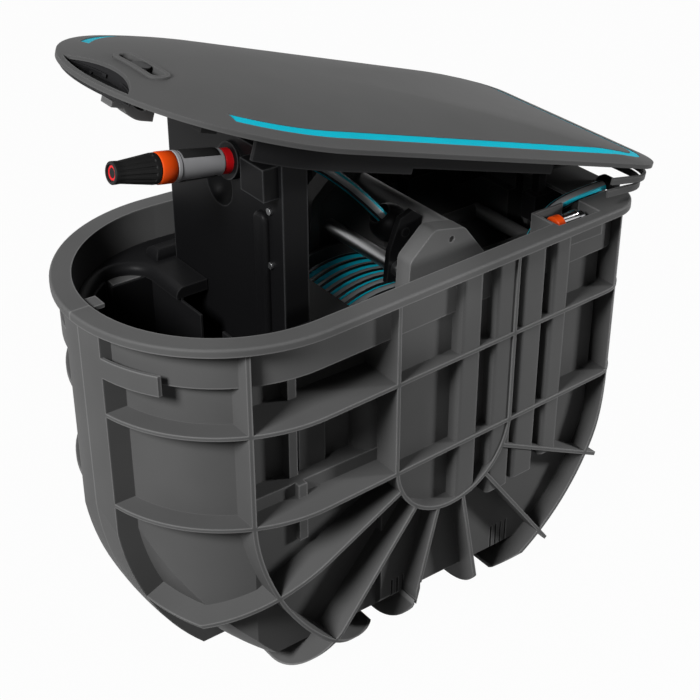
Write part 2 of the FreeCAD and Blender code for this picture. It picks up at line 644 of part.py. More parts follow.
FIT = "0.05"
core = cylinder("nozzle_core", "x", "nozzle_radius / 2", "%s - %s + nozzle_head / 2" % (RING_END, BODY_END),
                "-(%s + nozzle_head / 2)" % RING_END)
body_cone = turned("body_cone", "nozzle_radius - 2", "nozzle_radius", BODY_START, BODY_END)
node("nozzle_body", fuse("body_round", body_cone, core), nozzle_place)
head_bore = cylinder("head_bore", "x", "nozzle_radius / 2 + " + FIT, "nozzle_head / 2 + 1",
                     "-(%s + nozzle_head / 2 + 0.5)" % RING_END)
ring_bore = cylinder("ring_bore", "x", "nozzle_radius / 2 + " + FIT, "nozzle_ring + 2",
                     "-(%s + 1)" % RING_END)
node("nozzle_ring", cut("ring_turned", turned("ring_blank", "nozzle_radius + 0.5", "nozzle_radius + 0.5",
                                              BODY_END + " + 0.3", RING_END), ring_bore), nozzle_place)
head_cone = turned("head_cone", "nozzle_radius", "nozzle_nose", RING_END, HEAD_END)
jet_seat = cylinder("jet_seat", "x", "nozzle_nose - 3", "6", "-" + HEAD_END)
flutes = []
FLUTES = 10
for index in range(FLUTES):
    turn = 2 * math.pi * index / FLUTES
    y = "%g * (nozzle_radius + 1.6)" % math.cos(turn)
    z = "%g * (nozzle_radius + 1.6)" % math.sin(turn)
    flutes.append(cylinder("flute%d" % index, "x", "3", "nozzle_head - 14", "-%s + 10" % HEAD_END, y, z))
node("nozzle_head", cut("head_turned", head_cone, head_bore, jet_seat, *flutes), nozzle_place)
jet_block = cylinder("jet_block", "x", "nozzle_nose - 3", "5", "-%s + 1" % HEAD_END)
jet_bore = cylinder("jet_bore", "x", "2.5", "8", "-%s - 1" % HEAD_END)
node("nozzle_jet", cut("jet_turned", jet_block, jet_bore), nozzle_place)
pads = []
for index, sign in enumerate(("", "-")):
    pad = box("grip_pad%d" % index, "-(%s - 4)" % BODY_END, "-(%s + 6)" % BODY_START, "-9", "9",
              "(nozzle_radius - 3)" if not sign else "-(nozzle_radius + 2.5)",
              "(nozzle_radius + 2.5)" if not sign else "-(nozzle_radius - 3)")
    pads.append(pad)
grip_pads = cut("grip_pads", fuse("pad_pair", *pads), turned("pad_seat", "nozzle_radius - 2", "nozzle_radius",
                                                           BODY_START, BODY_END))
node("nozzle_grip", grip_pads, nozzle_place)
CONNECTOR_REAR = "(panel_wall + 26)"
connector_tube = cylinder("connector_tube", "x", "hose / 2 + 3", "%s + %s" % (BODY_START, CONNECTOR_REAR),
                          "-" + BODY_START)
connector_collar = cylinder("connector_collar", "x", "collar_radius", "collar_length - " + FIT,
                            "-" + BODY_START)
connector_bore = cylinder("connector_bore", "x", "hose / 4", "panel_wall + 40", "-panel_wall")
connector_blank = fuse("connector_blank", connector_tube, connector_collar)
node("hose_connector", cut("connector", connector_blank, connector_bore), nozzle_place)
holder_ring = cylinder("holder_ring", "x", "nozzle_radius + holder_wall", "holder_length + 6",
                       "-holder_length")
holder_bore = cylinder("holder_bore", "x", "hose / 2 + 3 + " + FIT, "3 * holder_length", "-1.5 * holder_length")
holder_face = box("holder_face", "panel_front - 3 * holder_length", "panel_front", "-panel_half", "panel_half",
                  "panel_foot", "panel_top")
holder_tilted = cut("holder_tilted", holder_ring, holder_bore)
holder_tilted.Placement = nozzle_place
node("nozzle_holder", common("holder_seated", holder_tilted, holder_face))


# Reel frames, tubes and axle

FLOOR = size["wall_low"] + size["wall"]
AXLE_Z = size["axis_height"]
frame_outline = [(-130, FLOOR), (-78, FLOOR), (-46, 165), (46, 165), (66, FLOOR), (112, FLOOR), (140, 340),
                 (116, 448), (62, 518), (16, 528), (-20, 496), (-30, 340)]
frame_window = [(-14, 340), (-6, 490), (20, 511), (54, 504), (101, 442), (122, 345), (70, 330), (-5, 330)]
NEAR = "-1"


def side_frame(name, sign):
    """One reel side frame: a deep moulded plate, hollowed from the inside."""
    inner = size["frame_inner"] * sign
    outer = (size["frame_inner"] + size["frame_thick"]) * sign
    web = (size["frame_inner"] + size["frame_thick"] - size["frame_web"]) * sign
    y0, y1 = sorted((inner, outer))
    plate = prism(name + "_plate", frame_outline, y0, y1)
    soft = round_edges(name + "_soft", plate, 12, lambda a, b: a.z > 300 and abs(a.x - b.x) < 1e-6
                       and abs(a.z - b.z) < 1e-6)
    y0, y1 = sorted((inner - sign, web))
    window = prism(name + "_window", frame_window, y0, y1)
    eye = cylinder(name + "_eye", "y", "axle_radius", "3 * frame_thick",
                   0, min(inner, outer) - size["frame_thick"], "axis_height")
    peg = cylinder(name + "_peg", "y", "4", "3 * frame_thick", 42, min(inner, outer) - size["frame_thick"], 508)
    return cut(name, soft, window, eye, peg)


node("reel_frame_near", side_frame("frame_near", -1))
node("reel_frame_far", side_frame("frame_far", 1))


def cross_bar(name, radius, x, z):
    """A round bar between the two side frames."""
    return cylinder(name, "y", radius, "2 * frame_inner", x, "-frame_inner", z)


node("carry_tube", cross_bar("carry_bar", "tube_radius", "tube_x", "tube_z"))
node("guide_bar", cross_bar("guide_rod", "bar_radius", "bar_x", "bar_z"))
node("axle", cylinder("axle_bar", "y", "axle_radius", "2 * (frame_inner + frame_thick) + 14", 0,
                      "-frame_inner - frame_thick - 7", "axis_height"))
node("spring_case", cut("spring_can",
                        cylinder("spring_blank", "y", "spring_radius", "2 * spring_half", 0, "-spring_half",
                                 "axis_height"),
                        cylinder("spring_bore", "y", "axle_radius", "4 * spring_half", 0, "-2 * spring_half",
                                 "axis_height")))

ARM = "(handle_radius - 1)"
handle_parts = [
    cylinder("handle_cross", "y", ARM, "2 * frame_inner", "handle_root", "-frame_inner", "handle_z"),
    cylinder("handle_grip", "y", "handle_radius", "2 * handle_half", "handle_x", "-handle_half", "handle_z"),
]
for index, sign in enumerate(("-", "")):
    handle_parts.append(cylinder("handle_arm%d" % index, "x", ARM, "handle_x - handle_root", "handle_root",
                                 sign + "handle_half", "handle_z"))
    handle_parts.append(ball("handle_bend%d" % index, "handle_radius", "handle_x", sign + "handle_half",
                             "handle_z"))
node("rear_handle", fuse("handle", *handle_parts))


# Drum with its hose

def about_axle(name, radius, y0, y1):
    """A disc or barrel about the reel axle."""
    return cylinder(name, "y", radius, "(%s) - (%s)" % (y1, y0), 0, y0, "axis_height")


node("drum_barrel", cut("barrel", about_axle("barrel_blank", "barrel_radius", "-drum_half", "drum_half"),
                        about_axle("barrel_bore", "barrel_radius - barrel_wall", "-2 * drum_half",
                                   "2 * drum_half")))
SPOKES = 6
for label, y0, y1 in (("drum_flange_near", "-drum_half - flange_plate", "-drum_half"),
                      ("drum_flange_far", "drum_half", "drum_half + flange_plate")):
    disc = about_axle(label + "_disc", "flange_radius", y0, y1)
    eye = about_axle(label + "_eye", "axle_radius + axle_fit", "%s - 1" % y0, "%s + 1" % y1)
    windows = []
    for index in range(SPOKES):
        turn = 2 * math.pi * index / SPOKES
        x = "%g * (barrel_radius + flange_radius) / 2" % math.cos(turn)
        z = "axis_height + %g * (barrel_radius + flange_radius) / 2" % math.sin(turn)
        windows.append(cylinder("%s_window%d" % (label, index), "y", "22", "3 * flange_plate", x,
                                "%s - flange_plate" % y0, z))
    node(label, cut(label + "_cut", disc, eye, *windows))
PACK = "(wind_radius - hose / 2 - wind_gap)"
node("hose_pack", cut("pack", about_axle("pack_blank", PACK, "0.5 - drum_half", "drum_half - 0.5"),
                      about_axle("pack_bore", "barrel_radius + 0.3", "-2 * drum_half", "2 * drum_half")))


# Hoses

def arc_towards(start, corner, end):
    """A circular arc from start to end whose end tangents meet at the corner."""
    middle = (start + end) * 0.5
    half = (end - start).Length / 2
    rise = (corner - middle).Length
    angle = math.atan2(rise, half)
    if angle < 1e-6:
        return Part.LineSegment(start, end).toShape()
    crown = middle + (corner - middle) * (math.tan(angle / 2) / math.tan(angle))
    return Part.Arc(start, crown, end).toShape()


def biarc(start, leave, end, arrive):
    """Two tangent arcs between two points with given directions."""
    span = end - start
    both = leave + arrive
    turn = 2 * (1 - leave.dot(arrive))
    lean = span.dot(both)
    reach = (math.sqrt(lean * lean + turn * span.dot(span)) - lean) / turn
    first = start + leave * reach
    second = end - arrive * reach
    joint = (first + second) * 0.5
    return [arc_towards(start, first, joint), arc_towards(joint, second, end)]


def tube_along(edges, start, heading, radius):
    """A solid tube along a path of tangent edges."""
    path = Part.Wire(edges)
    section = Part.Wire([Part.makeCircle(radius, start, heading)])
    return path.makePipeShell([section], True, False)


def rounded_route(name, points):
    """A tube along straight runs with arcs as large as the runs allow."""
    radius = size["hose"] / 2
    edges = []
    at = points[0]
    length = 0
    radii = []
    for before, corner, after in zip(points, points[1:], points[2:]):
        come = corner - before
        leave = after - corner
        shorter = 0.45 * min(come.Length, leave.Length)
        come.normalize()
        leave.normalize()
        start = corner - come * shorter
        end = corner + leave * shorter
        edges.append(Part.LineSegment(at, start).toShape())
        edges.append(arc_towards(start, corner, end))
        turn = come.getAngle(leave)
        radii.append(round(shorter / math.tan(turn / 2)))
        at = end
    edges.append(Part.LineSegment(at, points[-1]).toShape())
    length = sum(edge.Length for edge in edges)
    tube = tube_along(edges, points[0], points[1] - points[0], radius)
    print(name, "radii", radii, "length", round(length, 1),
          "volume ratio", round(tube.Volume / (length * math.pi * radius ** 2), 4))
    return tube


PEEL_OFF = math.radians(33.8)


def wind_point(angle):
    """A point of the outer hose layer; the hose runs towards the near side as the angle grows."""
    radius = size["wind_radius"]
    side = -size["wind_pitch"] * (angle - PEEL_OFF) / (2 * math.pi) - WIND_END
    return Vector(radius * math.cos(angle), side, AXLE_Z + radius * math.sin(angle))


def wind_heading(angle):
    """The direction of the outer hose layer at an angle."""
    radius = size["wind_radius"]
    heading = Vector(-radius * math.sin(angle), -size["wind_pitch"] / (2 * math.pi), radius * math.cos(angle))
    return heading.normalize()


WIND_END = size["wind_pitch"] * size["wind_turns"] / 2
quarters = int(size["wind_turns"] * 4)
angles = [PEEL_OFF - (quarters - index) * math.pi / 2 for index in range(quarters + 1)]
first, last = wind_point(angles[0]), wind_point(angles[-1])
lead_in = first - wind_heading(angles[0]) * size["hose"]
lead_out = last + wind_heading(angles[-1]) * size["hose"]
winding = [Part.LineSegment(lead_in, first).toShape()]
for here, there in zip(angles, angles[1:]):
    winding += biarc(wind_point(here), wind_heading(here), wind_point(there), wind_heading(there))
winding.append(Part.LineSegment(last, lead_out).toShape())
node("wound_hose", solid("winding", tube_along(winding, lead_in, wind_heading(angles[0]), size["hose"] / 2)))

STEPS_EACH = 12
centres = [wind_point(angles[0] + index * math.pi / 2 / STEPS_EACH) for index in range(quarters * STEPS_EACH)]
apart = min((a - b).Length for index, a in enumerate(centres)
            for b in centres[index + 2 * STEPS_EACH:index + 6 * STEPS_EACH])
print("winding gap", round(apart - size["hose"], 2))

tilt = math.radians(size["nozzle_tilt"])
along = Vector(-math.cos(tilt), 0, math.sin(tilt))
nozzle_seat = Vector(size["panel_front"], size["nozzle_y"], size["nozzle_z"])
connector_end = nozzle_seat - along * (size["panel_wall"] + 26)
guide_point = Vector(19, -20, 500)
lead_route = [lead_out, lead_out + wind_heading(angles[-1]) * 40, Vector(54, -40, 447), guide_point,
              Vector(-40, -20, 566), Vector(-96, -20.5, 614), connector_end - along * 38, connector_end]
node("hose_lead", solid("lead", rounded_route("hose_lead", lead_route)))

lead_heading = (Vector(-40, -20, 566) - Vector(54, -40, 447)).normalize()
guide_ball = ball("guide_ball", "ball_radius", guide_point.x, guide_point.y, guide_point.z)
guide_bore = doc.addObject("Part::Cylinder", "guide_bore")
bind(guide_bore, Radius="ball_bore", Height="4 * ball_radius")
guide_bore.Placement = Placement(guide_point - lead_heading * 2 * size["ball_radius"],
                                 Rotation(Vector(0, 0, 1), lead_heading))
guide_pin = cylinder("guide_pin", "y", "6", "14", guide_point.x, guide_point.y - size["ball_radius"] - 11,
                     guide_point.z)
node("hose_guide", cut("guide_bored", fuse("guide_solid", guide_ball, guide_pin), guide_bore))
BRACKET_NEAR = guide_point.y - size["ball_radius"] - 9
bracket_outline = [(-8, 438), (22, 438), (40, 480), (46, 514), (30, 526), (12, 520), (-4, 480)]
bracket_plate = prism("bracket_plate", bracket_outline,
                      BRACKET_NEAR, BRACKET_NEAR + 8)
bracket_eyes = [
    cylinder("bracket_eye_tube", "y", "tube_radius", "20", "tube_x", BRACKET_NEAR - 5, "tube_z"),
    cylinder("bracket_eye_bar", "y", "bar_radius", "20", "bar_x", BRACKET_NEAR - 5, "bar_z"),
    cylinder("bracket_eye_pin", "y", "6", "20", guide_point.x, BRACKET_NEAR - 5, guide_point.z),
]
node("guide_bracket", cut("bracket", bracket_plate, *bracket_eyes))

ELBOW_Y = -(size["frame_inner"] + size["frame_thick"] + 14)
elbow = fuse("elbow", cylinder("elbow_hub", "y", "hose / 2 + 5", "20", 0, ELBOW_Y - 13, "axis_height"),
             cylinder("elbow_arm", "x", "hose / 2 + 2", "36", 0, ELBOW_Y - 3, "axis_height"))
elbow_bore = cylinder("elbow_bore", "y", "axle_radius", "20", 0, ELBOW_Y - 2, "axis_height")
node("inlet_elbow", cut("elbow_bored", elbow, elbow_bore))
supply_y = ELBOW_Y - 3
duct_face = Vector(284, size["slot_y"], size["tub_height"] + 1.5)
supply_route = [Vector(36, supply_y, AXLE_Z), Vector(92, supply_y, AXLE_Z), Vector(140, -129, 310),
                Vector(150, -122, 385), Vector(166, -109, 452), Vector(201, -107, 494),
                Vector(236, -117, 511), duct_face]
node("supply_hose", solid("supply", rounded_route("supply_hose", supply_route)))

# Duct over the deck that takes the supply hose, and the tap fitting in the pocket
duct_body = box("duct_body", duct_face.x, duct_face.x + 20, duct_face.y - 16, duct_face.y + 16, "tub_height",
                "tub_height + 10.5")
duct_soft = round_edges("duct_soft", duct_body, 7, lambda a, b: a.z > size["tub_height"] + 5
                        and b.z > size["tub_height"] + 5 or upright(a, b))
node("hose_duct", duct_soft)
TAP_Y = "-(pocket_near + pocket_far) / 2"
TAP_Z = "pocket_floor + tap_ring_radius"
tap_body = fuse("tap_body",
                cylinder("tap_barrel", "x", "tap_body_radius", "34", "pocket_front + 6", TAP_Y, TAP_Z),
                cylinder("tap_spigot", "x", "tap_spigot_radius", "56", "pocket_front + 6", TAP_Y, TAP_Z))
node("tap_connector", tap_body)
collar_blank = cylinder("tap_collar_blank", "x", "tap_ring_radius", "11", "pocket_front + 40", TAP_Y, TAP_Z)
collar_bore = cylinder("tap_collar_bore", "x", "tap_spigot_radius", "13", "pocket_front + 39", TAP_Y, TAP_Z)
node("tap_ring", cut("tap_collar", collar_blank, collar_bore))


# Lid in its closed place; its parts are then turned about the hinge

EDGE = size["lid_edge"]
CONTOURS = (1, 0.96, 0.88, 0.76, 0.6, 0.4, 0.2, 0.05)


def lid_outline(inset, z, scale=1, shorter=0):
    """The lid's edge, a little outside the rim and further out at the rear."""
    return outline(inset, z, size["lid_overhang"], size["lid_rear_reach"] - shorter, scale, size["lid_apex"])


def dome(inset=0, rise=0, lower=0):
    """The space under the lid's surface, drawn in by an inset and raised or lowered."""
    foot = EDGE - lower + min(0, rise)
    level = EDGE + size["lid_lip"] + rise
    wires = [lid_outline(inset, level + size["lid_rise"] * (1 - scale ** size["lid_power"]), scale)
             for scale in CONTOURS]
    cap = Part.makeLoft(wires, True, False)
    lip = Part.Face(lid_outline(inset, foot)).extrude(Vector(0, 0, level - foot))
    return lip.fuse(cap).removeSplitter()


def lid_ring(outer, inner, z0, z1, shorter=0):
    """An upright band that follows the lid's outline between two insets."""
    def plan(inset):
        return Part.Face(lid_outline(inset, z0, 1, shorter)).extrude(Vector(0, 0, z1 - z0))
    return plan(outer) if inner is None else plan(outer).cut(plan(inner))


def block(x0, x1, y0, y1, z0, z1):
    """A plain block used to trim lid pieces."""
    return Part.makeBox(x1 - x0, y1 - y0, z1 - z0, Vector(x0, y0, z0))


def rod(radius, y0, y1, x, z):
    """A plain round bar across the lid."""
    return Part.makeCylinder(radius, y1 - y0, Vector(x, y0, z), Vector(0, 1, 0))


hinge = Vector(size["hinge_x"], 0, size["hinge_z"])


def turned_about_hinge(share):
    """The place of a piece that has turned by a share of the lid's opening."""
    return Placement(Vector(), Rotation(Vector(0, 1, 0), size["lid_open"] * share), hinge)


lid_place = turned_about_hinge(1)
WIDE = size["tub_width"]
TALL = 2 * size["tub_height"]
LID_FRONT = -size["front_centre"] - size["tub_width"] / 2
outer_dome = dome()
inner_dome = dome(size["lid_wall"], -size["lid_wall"], size["lid_wall"])
stripe_band = lid_ring(size["stripe_inset"], size["stripe_inset"] + size["stripe_width"], EDGE, EDGE + 90)
stripe_ends = block(LID_FRONT + size["stripe_near_back"], WIDE * 2, -WIDE, 0, 0, TALL).fuse(
    block(LID_FRONT + size["stripe_far_back"], WIDE * 2, 0, WIDE, 0, TALL))
stripe_band = stripe_band.common(stripe_ends)
groove = stripe_band.cut(dome(0, -size["stripe_depth"]))
stripe = stripe_band.common(dome(0, -size["stripe_sunk"])).cut(dome(0, -size["stripe_depth"]))

nose_x = LID_FRONT - size["lid_overhang"]
grip_front = Part.makeCylinder(size["tub_width"] / 2 + size["lid_overhang"] - size["grip_inset"], TALL,
                               Vector(-size["front_centre"], 0, EDGE + 1))
grip_back = Part.makeCylinder(size["grip_lead"] + size["grip_deep"], TALL,
                              Vector(nose_x - size["grip_lead"], 0, EDGE + 1))
grip_hole = grip_front.common(grip_back)

LOCK_DEPTH = 12


def lock_oval(half, width, z0, z1):
    """A long round-ended prism across the lid at the lock."""
    x = LID_FRONT + size["lock_back"]
    straight = half - width / 2
    ends = [Part.makeCylinder(width / 2, z1 - z0, Vector(x, y, z0)) for y in (-straight, straight)]
    return block(x - width / 2, x + width / 2, -straight, straight, z0, z1).fuse(ends).removeSplitter()


lock_hole = lock_oval(size["lock_half"], size["lock_width"], EDGE, TALL)
lid_solid = outer_dome.cut(inner_dome).cut([groove, grip_hole, lock_hole])
node("lid_shell", solid("lid_dome", lid_solid.removeSplitter()), lid_place)
node("lid_stripe", solid("stripe", stripe), lid_place)

skirt_low = size["tub_height"] + size["skirt_gap"]
inset = size["skirt_inset"]
skirt = lid_ring(inset, inset + size["skirt_wall"], size["skirt_deep"], EDGE + 1)
skirt_room = block(-WIDE * 2, WIDE * 2, -WIDE, WIDE, skirt_low, TALL).fuse([
    block(size["skirt_front"], size["skirt_step"], -WIDE, WIDE, 0, TALL),
    block(size["skirt_step"], size["skirt_rear"], -WIDE, WIDE, size["skirt_foot"], TALL)])
skirt = skirt.common(skirt_room)
flange_ring = lid_ring(size["lid_wall"] + 0.1, inset + size["skirt_wall"] + 8, EDGE, EDGE + size["liner_plate"])
liner_room = lid_ring(size["lid_wall"] + 0.1, None, 0, TALL).common(inner_dome.fuse(block(
    -WIDE * 2, WIDE * 2, -WIDE, WIDE, 0, EDGE)))
liner = flange_ring.fuse(skirt).common(liner_room)
grip_way = grip_hole.fuse(grip_hole.translated(Vector(0, 0, -40)))
liner = liner.cut([block(size["liner_rear"], WIDE * 2, -WIDE, WIDE, 0, TALL), grip_way, lock_hole])
node("lid_liner", solid("liner", liner.removeSplitter()), lid_place)

# Lock on the lid: oval bezel, slider and the hook it swings
bezel_band = dome(0, 2.5).cut(dome(0, -LOCK_DEPTH))
bezel_solid = lock_oval(size["lock_half"] - 0.1, size["lock_width"] - 0.2, EDGE, TALL).common(bezel_band)
well = lock_oval(size["lock_half"] - 6, size["lock_width"] - 10, EDGE, TALL).cut(dome(0, 6 - LOCK_DEPTH))
node("lock_bezel", solid("bezel", bezel_solid.cut(well)), lid_place)
slider_top = dome(0, 1.5)
slide_half = size["slider_half"]
slider = lock_oval(slide_half, size["lock_width"] - 11, EDGE, TALL).common(slider_top)
slider = slider.cut(dome(0, 6.3 - LOCK_DEPTH))
node("lock_slider", solid("slider", slider), lid_place)

hook_x, hook_z = LID_FRONT + size["hook_back"], size["hook_z"]
hook_wall = size["hook_wall"]
hook_radius = size["hook_radius"]
hook_near = size["hook_y"] - size["hook_width"] / 2
hook_far = size["hook_y"] + size["hook_width"] / 2
pivot_x = hook_x - hook_radius + hook_wall / 2
pivot_z = hook_z + 6
hook_ring = rod(hook_radius, hook_near, hook_far, hook_x, hook_z)
hook_ring = hook_ring.cut(rod(hook_radius - hook_wall, hook_near - 1, hook_far + 1, hook_x, hook_z))
hook_ring = hook_ring.common(block(hook_x - 60, hook_x + 6, hook_near, hook_far, hook_z - 60, hook_z))
hook_tip = block(hook_x + 2, hook_x + 14, hook_near, hook_far, hook_z - hook_radius, hook_z - hook_radius + 16)
hook_eye = rod(hook_wall / 2, hook_near, hook_far, pivot_x, pivot_z)
hook_neck = block(pivot_x - hook_wall / 2, pivot_x + hook_wall / 2, hook_near, hook_far, hook_z, pivot_z)
hook_nib = block(hook_x - hook_radius - 8, hook_x - hook_radius + 8, hook_near, hook_far, pivot_z - 26,
                 pivot_z - 19.5)
hook = hook_ring.fuse([hook_tip, hook_eye, hook_neck, hook_nib])
hook = hook.cut(rod(size["pin_radius"] + 0.05, -60, 60, pivot_x, pivot_z))
node("latch_hook", solid("hook", hook.removeSplitter()), lid_place)
latch_rod = rod(size["pin_radius"], hook_near - 10, hook_far + 10, pivot_x, pivot_z)
node("latch_pin", solid("latch_rod", latch_rod), lid_place)
cheeks = []
for y0, y1 in ((hook_near - 6, hook_near - 0.6), (hook_far + 0.6, hook_far + 6)):
    cheek = block(pivot_x - 7, pivot_x + 7, y0, y1, pivot_z - 6, TALL).common(liner_room).cut(bezel_solid)
    cheeks.append(cheek.cut(rod(size["pin_radius"], -60, 60, pivot_x, pivot_z)))
node("latch_cheeks", solid("cheeks", Part.makeCompound(cheeks)), lid_place)

bumpers = []
bumper_x = LID_FRONT + size["bumper_back"]
for y in (-size["bumper_y"], size["bumper_y"]):
    half = size["bumper_wide"] / 2
    bumper = block(bumper_x, bumper_x + size["bumper_long"], y - half, y + half, skirt_low - 12, TALL)
    bumpers.append(bumper.common(liner_room))
node("lid_bumpers", solid("bumper_pair", Part.makeCompound(bumpers)), lid_place)

# Rear lamellae that fan out between lid and tub; their fingers ride on the lid arms
arm_low = size["arm_radius"] - size["arm_wall"] / 2
arm_high = size["arm_radius"] + size["arm_wall"] / 2
fit = size["lamella_fit"]
finger_reach = rod(arm_low - fit, -WIDE, WIDE, hinge.x, hinge.z)
upper_low = skirt_low + size["finger_wall"] + 1


def fingers(near, far, low, inset, shorter):
    """A pair of arms from a lamella's rear band to the lid arms, between two shares of the arm's width."""
    pair = []
    plan = lid_ring(inset, None, low, low + size["finger_wall"], shorter)
    for side in (-1, 1):
        y = side * size["arm_y"]
        bar = block(0, hinge.x, y + near, y + far, low, low + size["finger_wall"])
        pair.append(bar.common(plan).common(finger_reach))
    return pair


half_arm = size["arm_width"] / 2
lamella_inset = size["lid_wall"] + size["lamella_room"]
lamella_dome = dome(lamella_inset, -lamella_inset, size["lid_wall"])
for label, order, share in (("lamella_upper", 0, 2 / 3), ("lamella_lower", 1, 1 / 3)):
    outer = lamella_inset + order * (size["lamella_wall"] + fit)
    shorter = (order + 1) * size["lamella_gap"]
    strip = lid_ring(outer, outer + size["lamella_wall"], skirt_low, skirt_low + size["lamella_height"],
                     shorter)
    strip = strip.common(block(size["lamella_front"], WIDE * 2, -WIDE, WIDE, 0, TALL))
    strip = strip.common(lamella_dome.fuse(block(0, WIDE * 2, -WIDE, WIDE, 0, EDGE)))
    if order == 0:
        strip = strip.fuse(fingers(-half_arm, -fit, upper_low, outer, shorter))
    else:
        ways = [block(0, hinge.x, side * size["arm_y"] - half_arm - fit, side * size["arm_y"],
                      upper_low - fit, TALL)
                for side in (-1, 1)]
        strip = strip.cut(ways).fuse(fingers(fit, half_arm, skirt_low, outer, shorter))
    node(label, solid(label + "_strip", strip.removeSplitter()), turned_about_hinge(share))

# Curved lid arms that run in guides; their arc is drawn about the lid's turning axis behind the tub
arms = []
guides_pair = []
slack = size["guide_fit"]
for side in (-1, 1):
    y0 = side * size["arm_y"] - size["arm_width"] / 2
    y1 = y0 + size["arm_width"]
    hoop = rod(arm_high, y0, y1, hinge.x, hinge.z).cut(rod(arm_low, y0, y1, hinge.x, hinge.z))
    low = hinge.z - size["arm_radius"] * math.sin(math.radians(size["arm_drop"]))
    hoop = hoop.common(block(0, hinge.x, y0, y1, low, EDGE + 2))
    stem = block(hinge.x - arm_high, hinge.x - arm_low, y0, y1, EDGE, TALL).common(inner_dome)
    arms.append(hoop.fuse(stem).removeSplitter())
    sleeve = block(hinge.x - arm_high - 10, size["deck_front"] + 12, y0 - 6, y1 + 6, size["guide_low"],
                   size["tub_height"] - size["deck_plate"])
    slot = rod(arm_high + slack, y0 - slack, y1 + slack, hinge.x, hinge.z)
    slot = slot.cut(rod(arm_low - slack, y0 - slack, y1 + slack, hinge.x, hinge.z))
    guides_pair.append(sleeve.cut(slot))
node("lid_arms", solid("arm_pair", Part.makeCompound(arms)), lid_place)
node("arm_guides", solid("guide_pair", Part.makeCompound(guides_pair)))
# Ledge on the front wall that the hook's nib catches under
keeper_top = size["tub_height"] - size["rim_plate"] - 0.3
keeper_low = keeper_top - size["keeper_wall"]
front_wall = -(FRONT_REACH - size["wall_high"])
ledge = block(front_wall, hook_x - size["keeper_reach"], hook_near, hook_far, keeper_low, keeper_top)
inner_reach = HALF_WIDTH - size["wall_high"] - size["wall"] - 0.3
inner_plan = Part.makeCylinder(inner_reach, TALL, Vector(-END_CENTRE, 0, 0))
node("latch_keeper", solid("keeper", ledge.common(inner_plan).removeSplitter()))


# Check every object and write the nodes

doc.recompute()
for item in doc.Objects:
    if "Invalid" in item.State or "Error" in item.State:
        raise RuntimeError("%s failed: %s" % (item.Name, item.State))
for item in nodes:
    if item.Shape.isNull() or not item.Shape.isValid() or not item.Shape.Solids:
        raise RuntimeError("%s has no valid solid" % item.Label)

os.makedirs("parts", exist_ok=True)
for item in nodes:
    item.Shape.exportStep("parts/%s.step" % item.Label)
    bounds = item.Shape.BoundBox
    print("%-18s %d solids %10.0f mm3  x %.0f..%.0f  y %.0f..%.0f  z %.0f..%.0f" % (
        item.Label, len(item.Shape.Solids), item.Shape.Volume, bounds.XMin, bounds.XMax, bounds.YMin,
        bounds.YMax, bounds.ZMin, bounds.ZMax))
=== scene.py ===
"""Looks of the in-ground hose box: hoses, nozzle, bead, grip cup, tap coupling, finishes and studio."""
import logging
import math
from dataclasses import dataclass
from enum import Enum
from typing import Any, Sequence

import bmesh
import bpy
from mathutils import Matrix, Vector


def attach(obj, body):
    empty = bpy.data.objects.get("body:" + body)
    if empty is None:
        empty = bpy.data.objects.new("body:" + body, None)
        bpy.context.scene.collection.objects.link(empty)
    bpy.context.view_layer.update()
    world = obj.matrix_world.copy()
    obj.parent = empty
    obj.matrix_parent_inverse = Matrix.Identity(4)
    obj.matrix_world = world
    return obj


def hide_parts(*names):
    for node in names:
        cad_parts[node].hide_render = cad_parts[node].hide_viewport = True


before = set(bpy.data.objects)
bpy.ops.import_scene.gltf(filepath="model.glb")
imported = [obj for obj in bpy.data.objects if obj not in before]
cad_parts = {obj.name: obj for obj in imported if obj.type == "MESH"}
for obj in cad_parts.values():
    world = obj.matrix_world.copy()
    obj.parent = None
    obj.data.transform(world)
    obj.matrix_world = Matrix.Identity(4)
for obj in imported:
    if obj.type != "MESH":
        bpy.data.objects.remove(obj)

LOG = logging.getLogger("hose_box")
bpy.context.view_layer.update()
MM = 0.001
WELD = 0.01 * MM

Point = tuple[float, float, float]
Profile = Sequence[tuple[float, float]]


class Body(str, Enum):
    """Moving groups of the hose box that pieces ride on."""

    TUB = "tub"
    DRUM = "drum"
    PANEL = "panel"
    SPRAY_HEAD = "spray_head"
    LID = "lid"


class Lay(str, Enum):
    """How a hose lies."""

    TAUT = "taut"
    LOOSE = "loose"
    COILED = "coiled"


def nurbs_route(name: str, route: Sequence[Point]) -> bpy.types.Object:
    """Make a bare curve of one open NURBS spline.

    Args:
        name: Name of the object and its curve.
        route: Control points in metres.

    Returns:
        The linked curve object, without a bevel.
    """
    curve = bpy.data.curves.new(name, "CURVE")
    curve.dimensions = "3D"
    spline = curve.splines.new("NURBS")
    spline.points.add(len(route) - 1)
    for control, point in zip(spline.points, route):
        control.co = (*point, 1.0)
    spline.order_u = 3
    spline.use_endpoint_u = True
    obj = bpy.data.objects.new(name, curve)
    bpy.context.scene.collection.objects.link(obj)
    return obj


def line_length(obj: bpy.types.Object) -> float:
    """Measure a bare curve along its own line.

    Args:
        obj: Curve object without a bevel.

    Returns:
        The length in metres.
    """
    bpy.context.view_layer.update()
    depsgraph = bpy.context.evaluated_depsgraph_get()
    line = bpy.data.meshes.new_from_object(obj.evaluated_get(depsgraph))
    spots = [vertex.co.copy() for vertex in line.vertices]
    bpy.data.meshes.remove(line)
    return sum((after - before).length for before, after in zip(spots, spots[1:]))


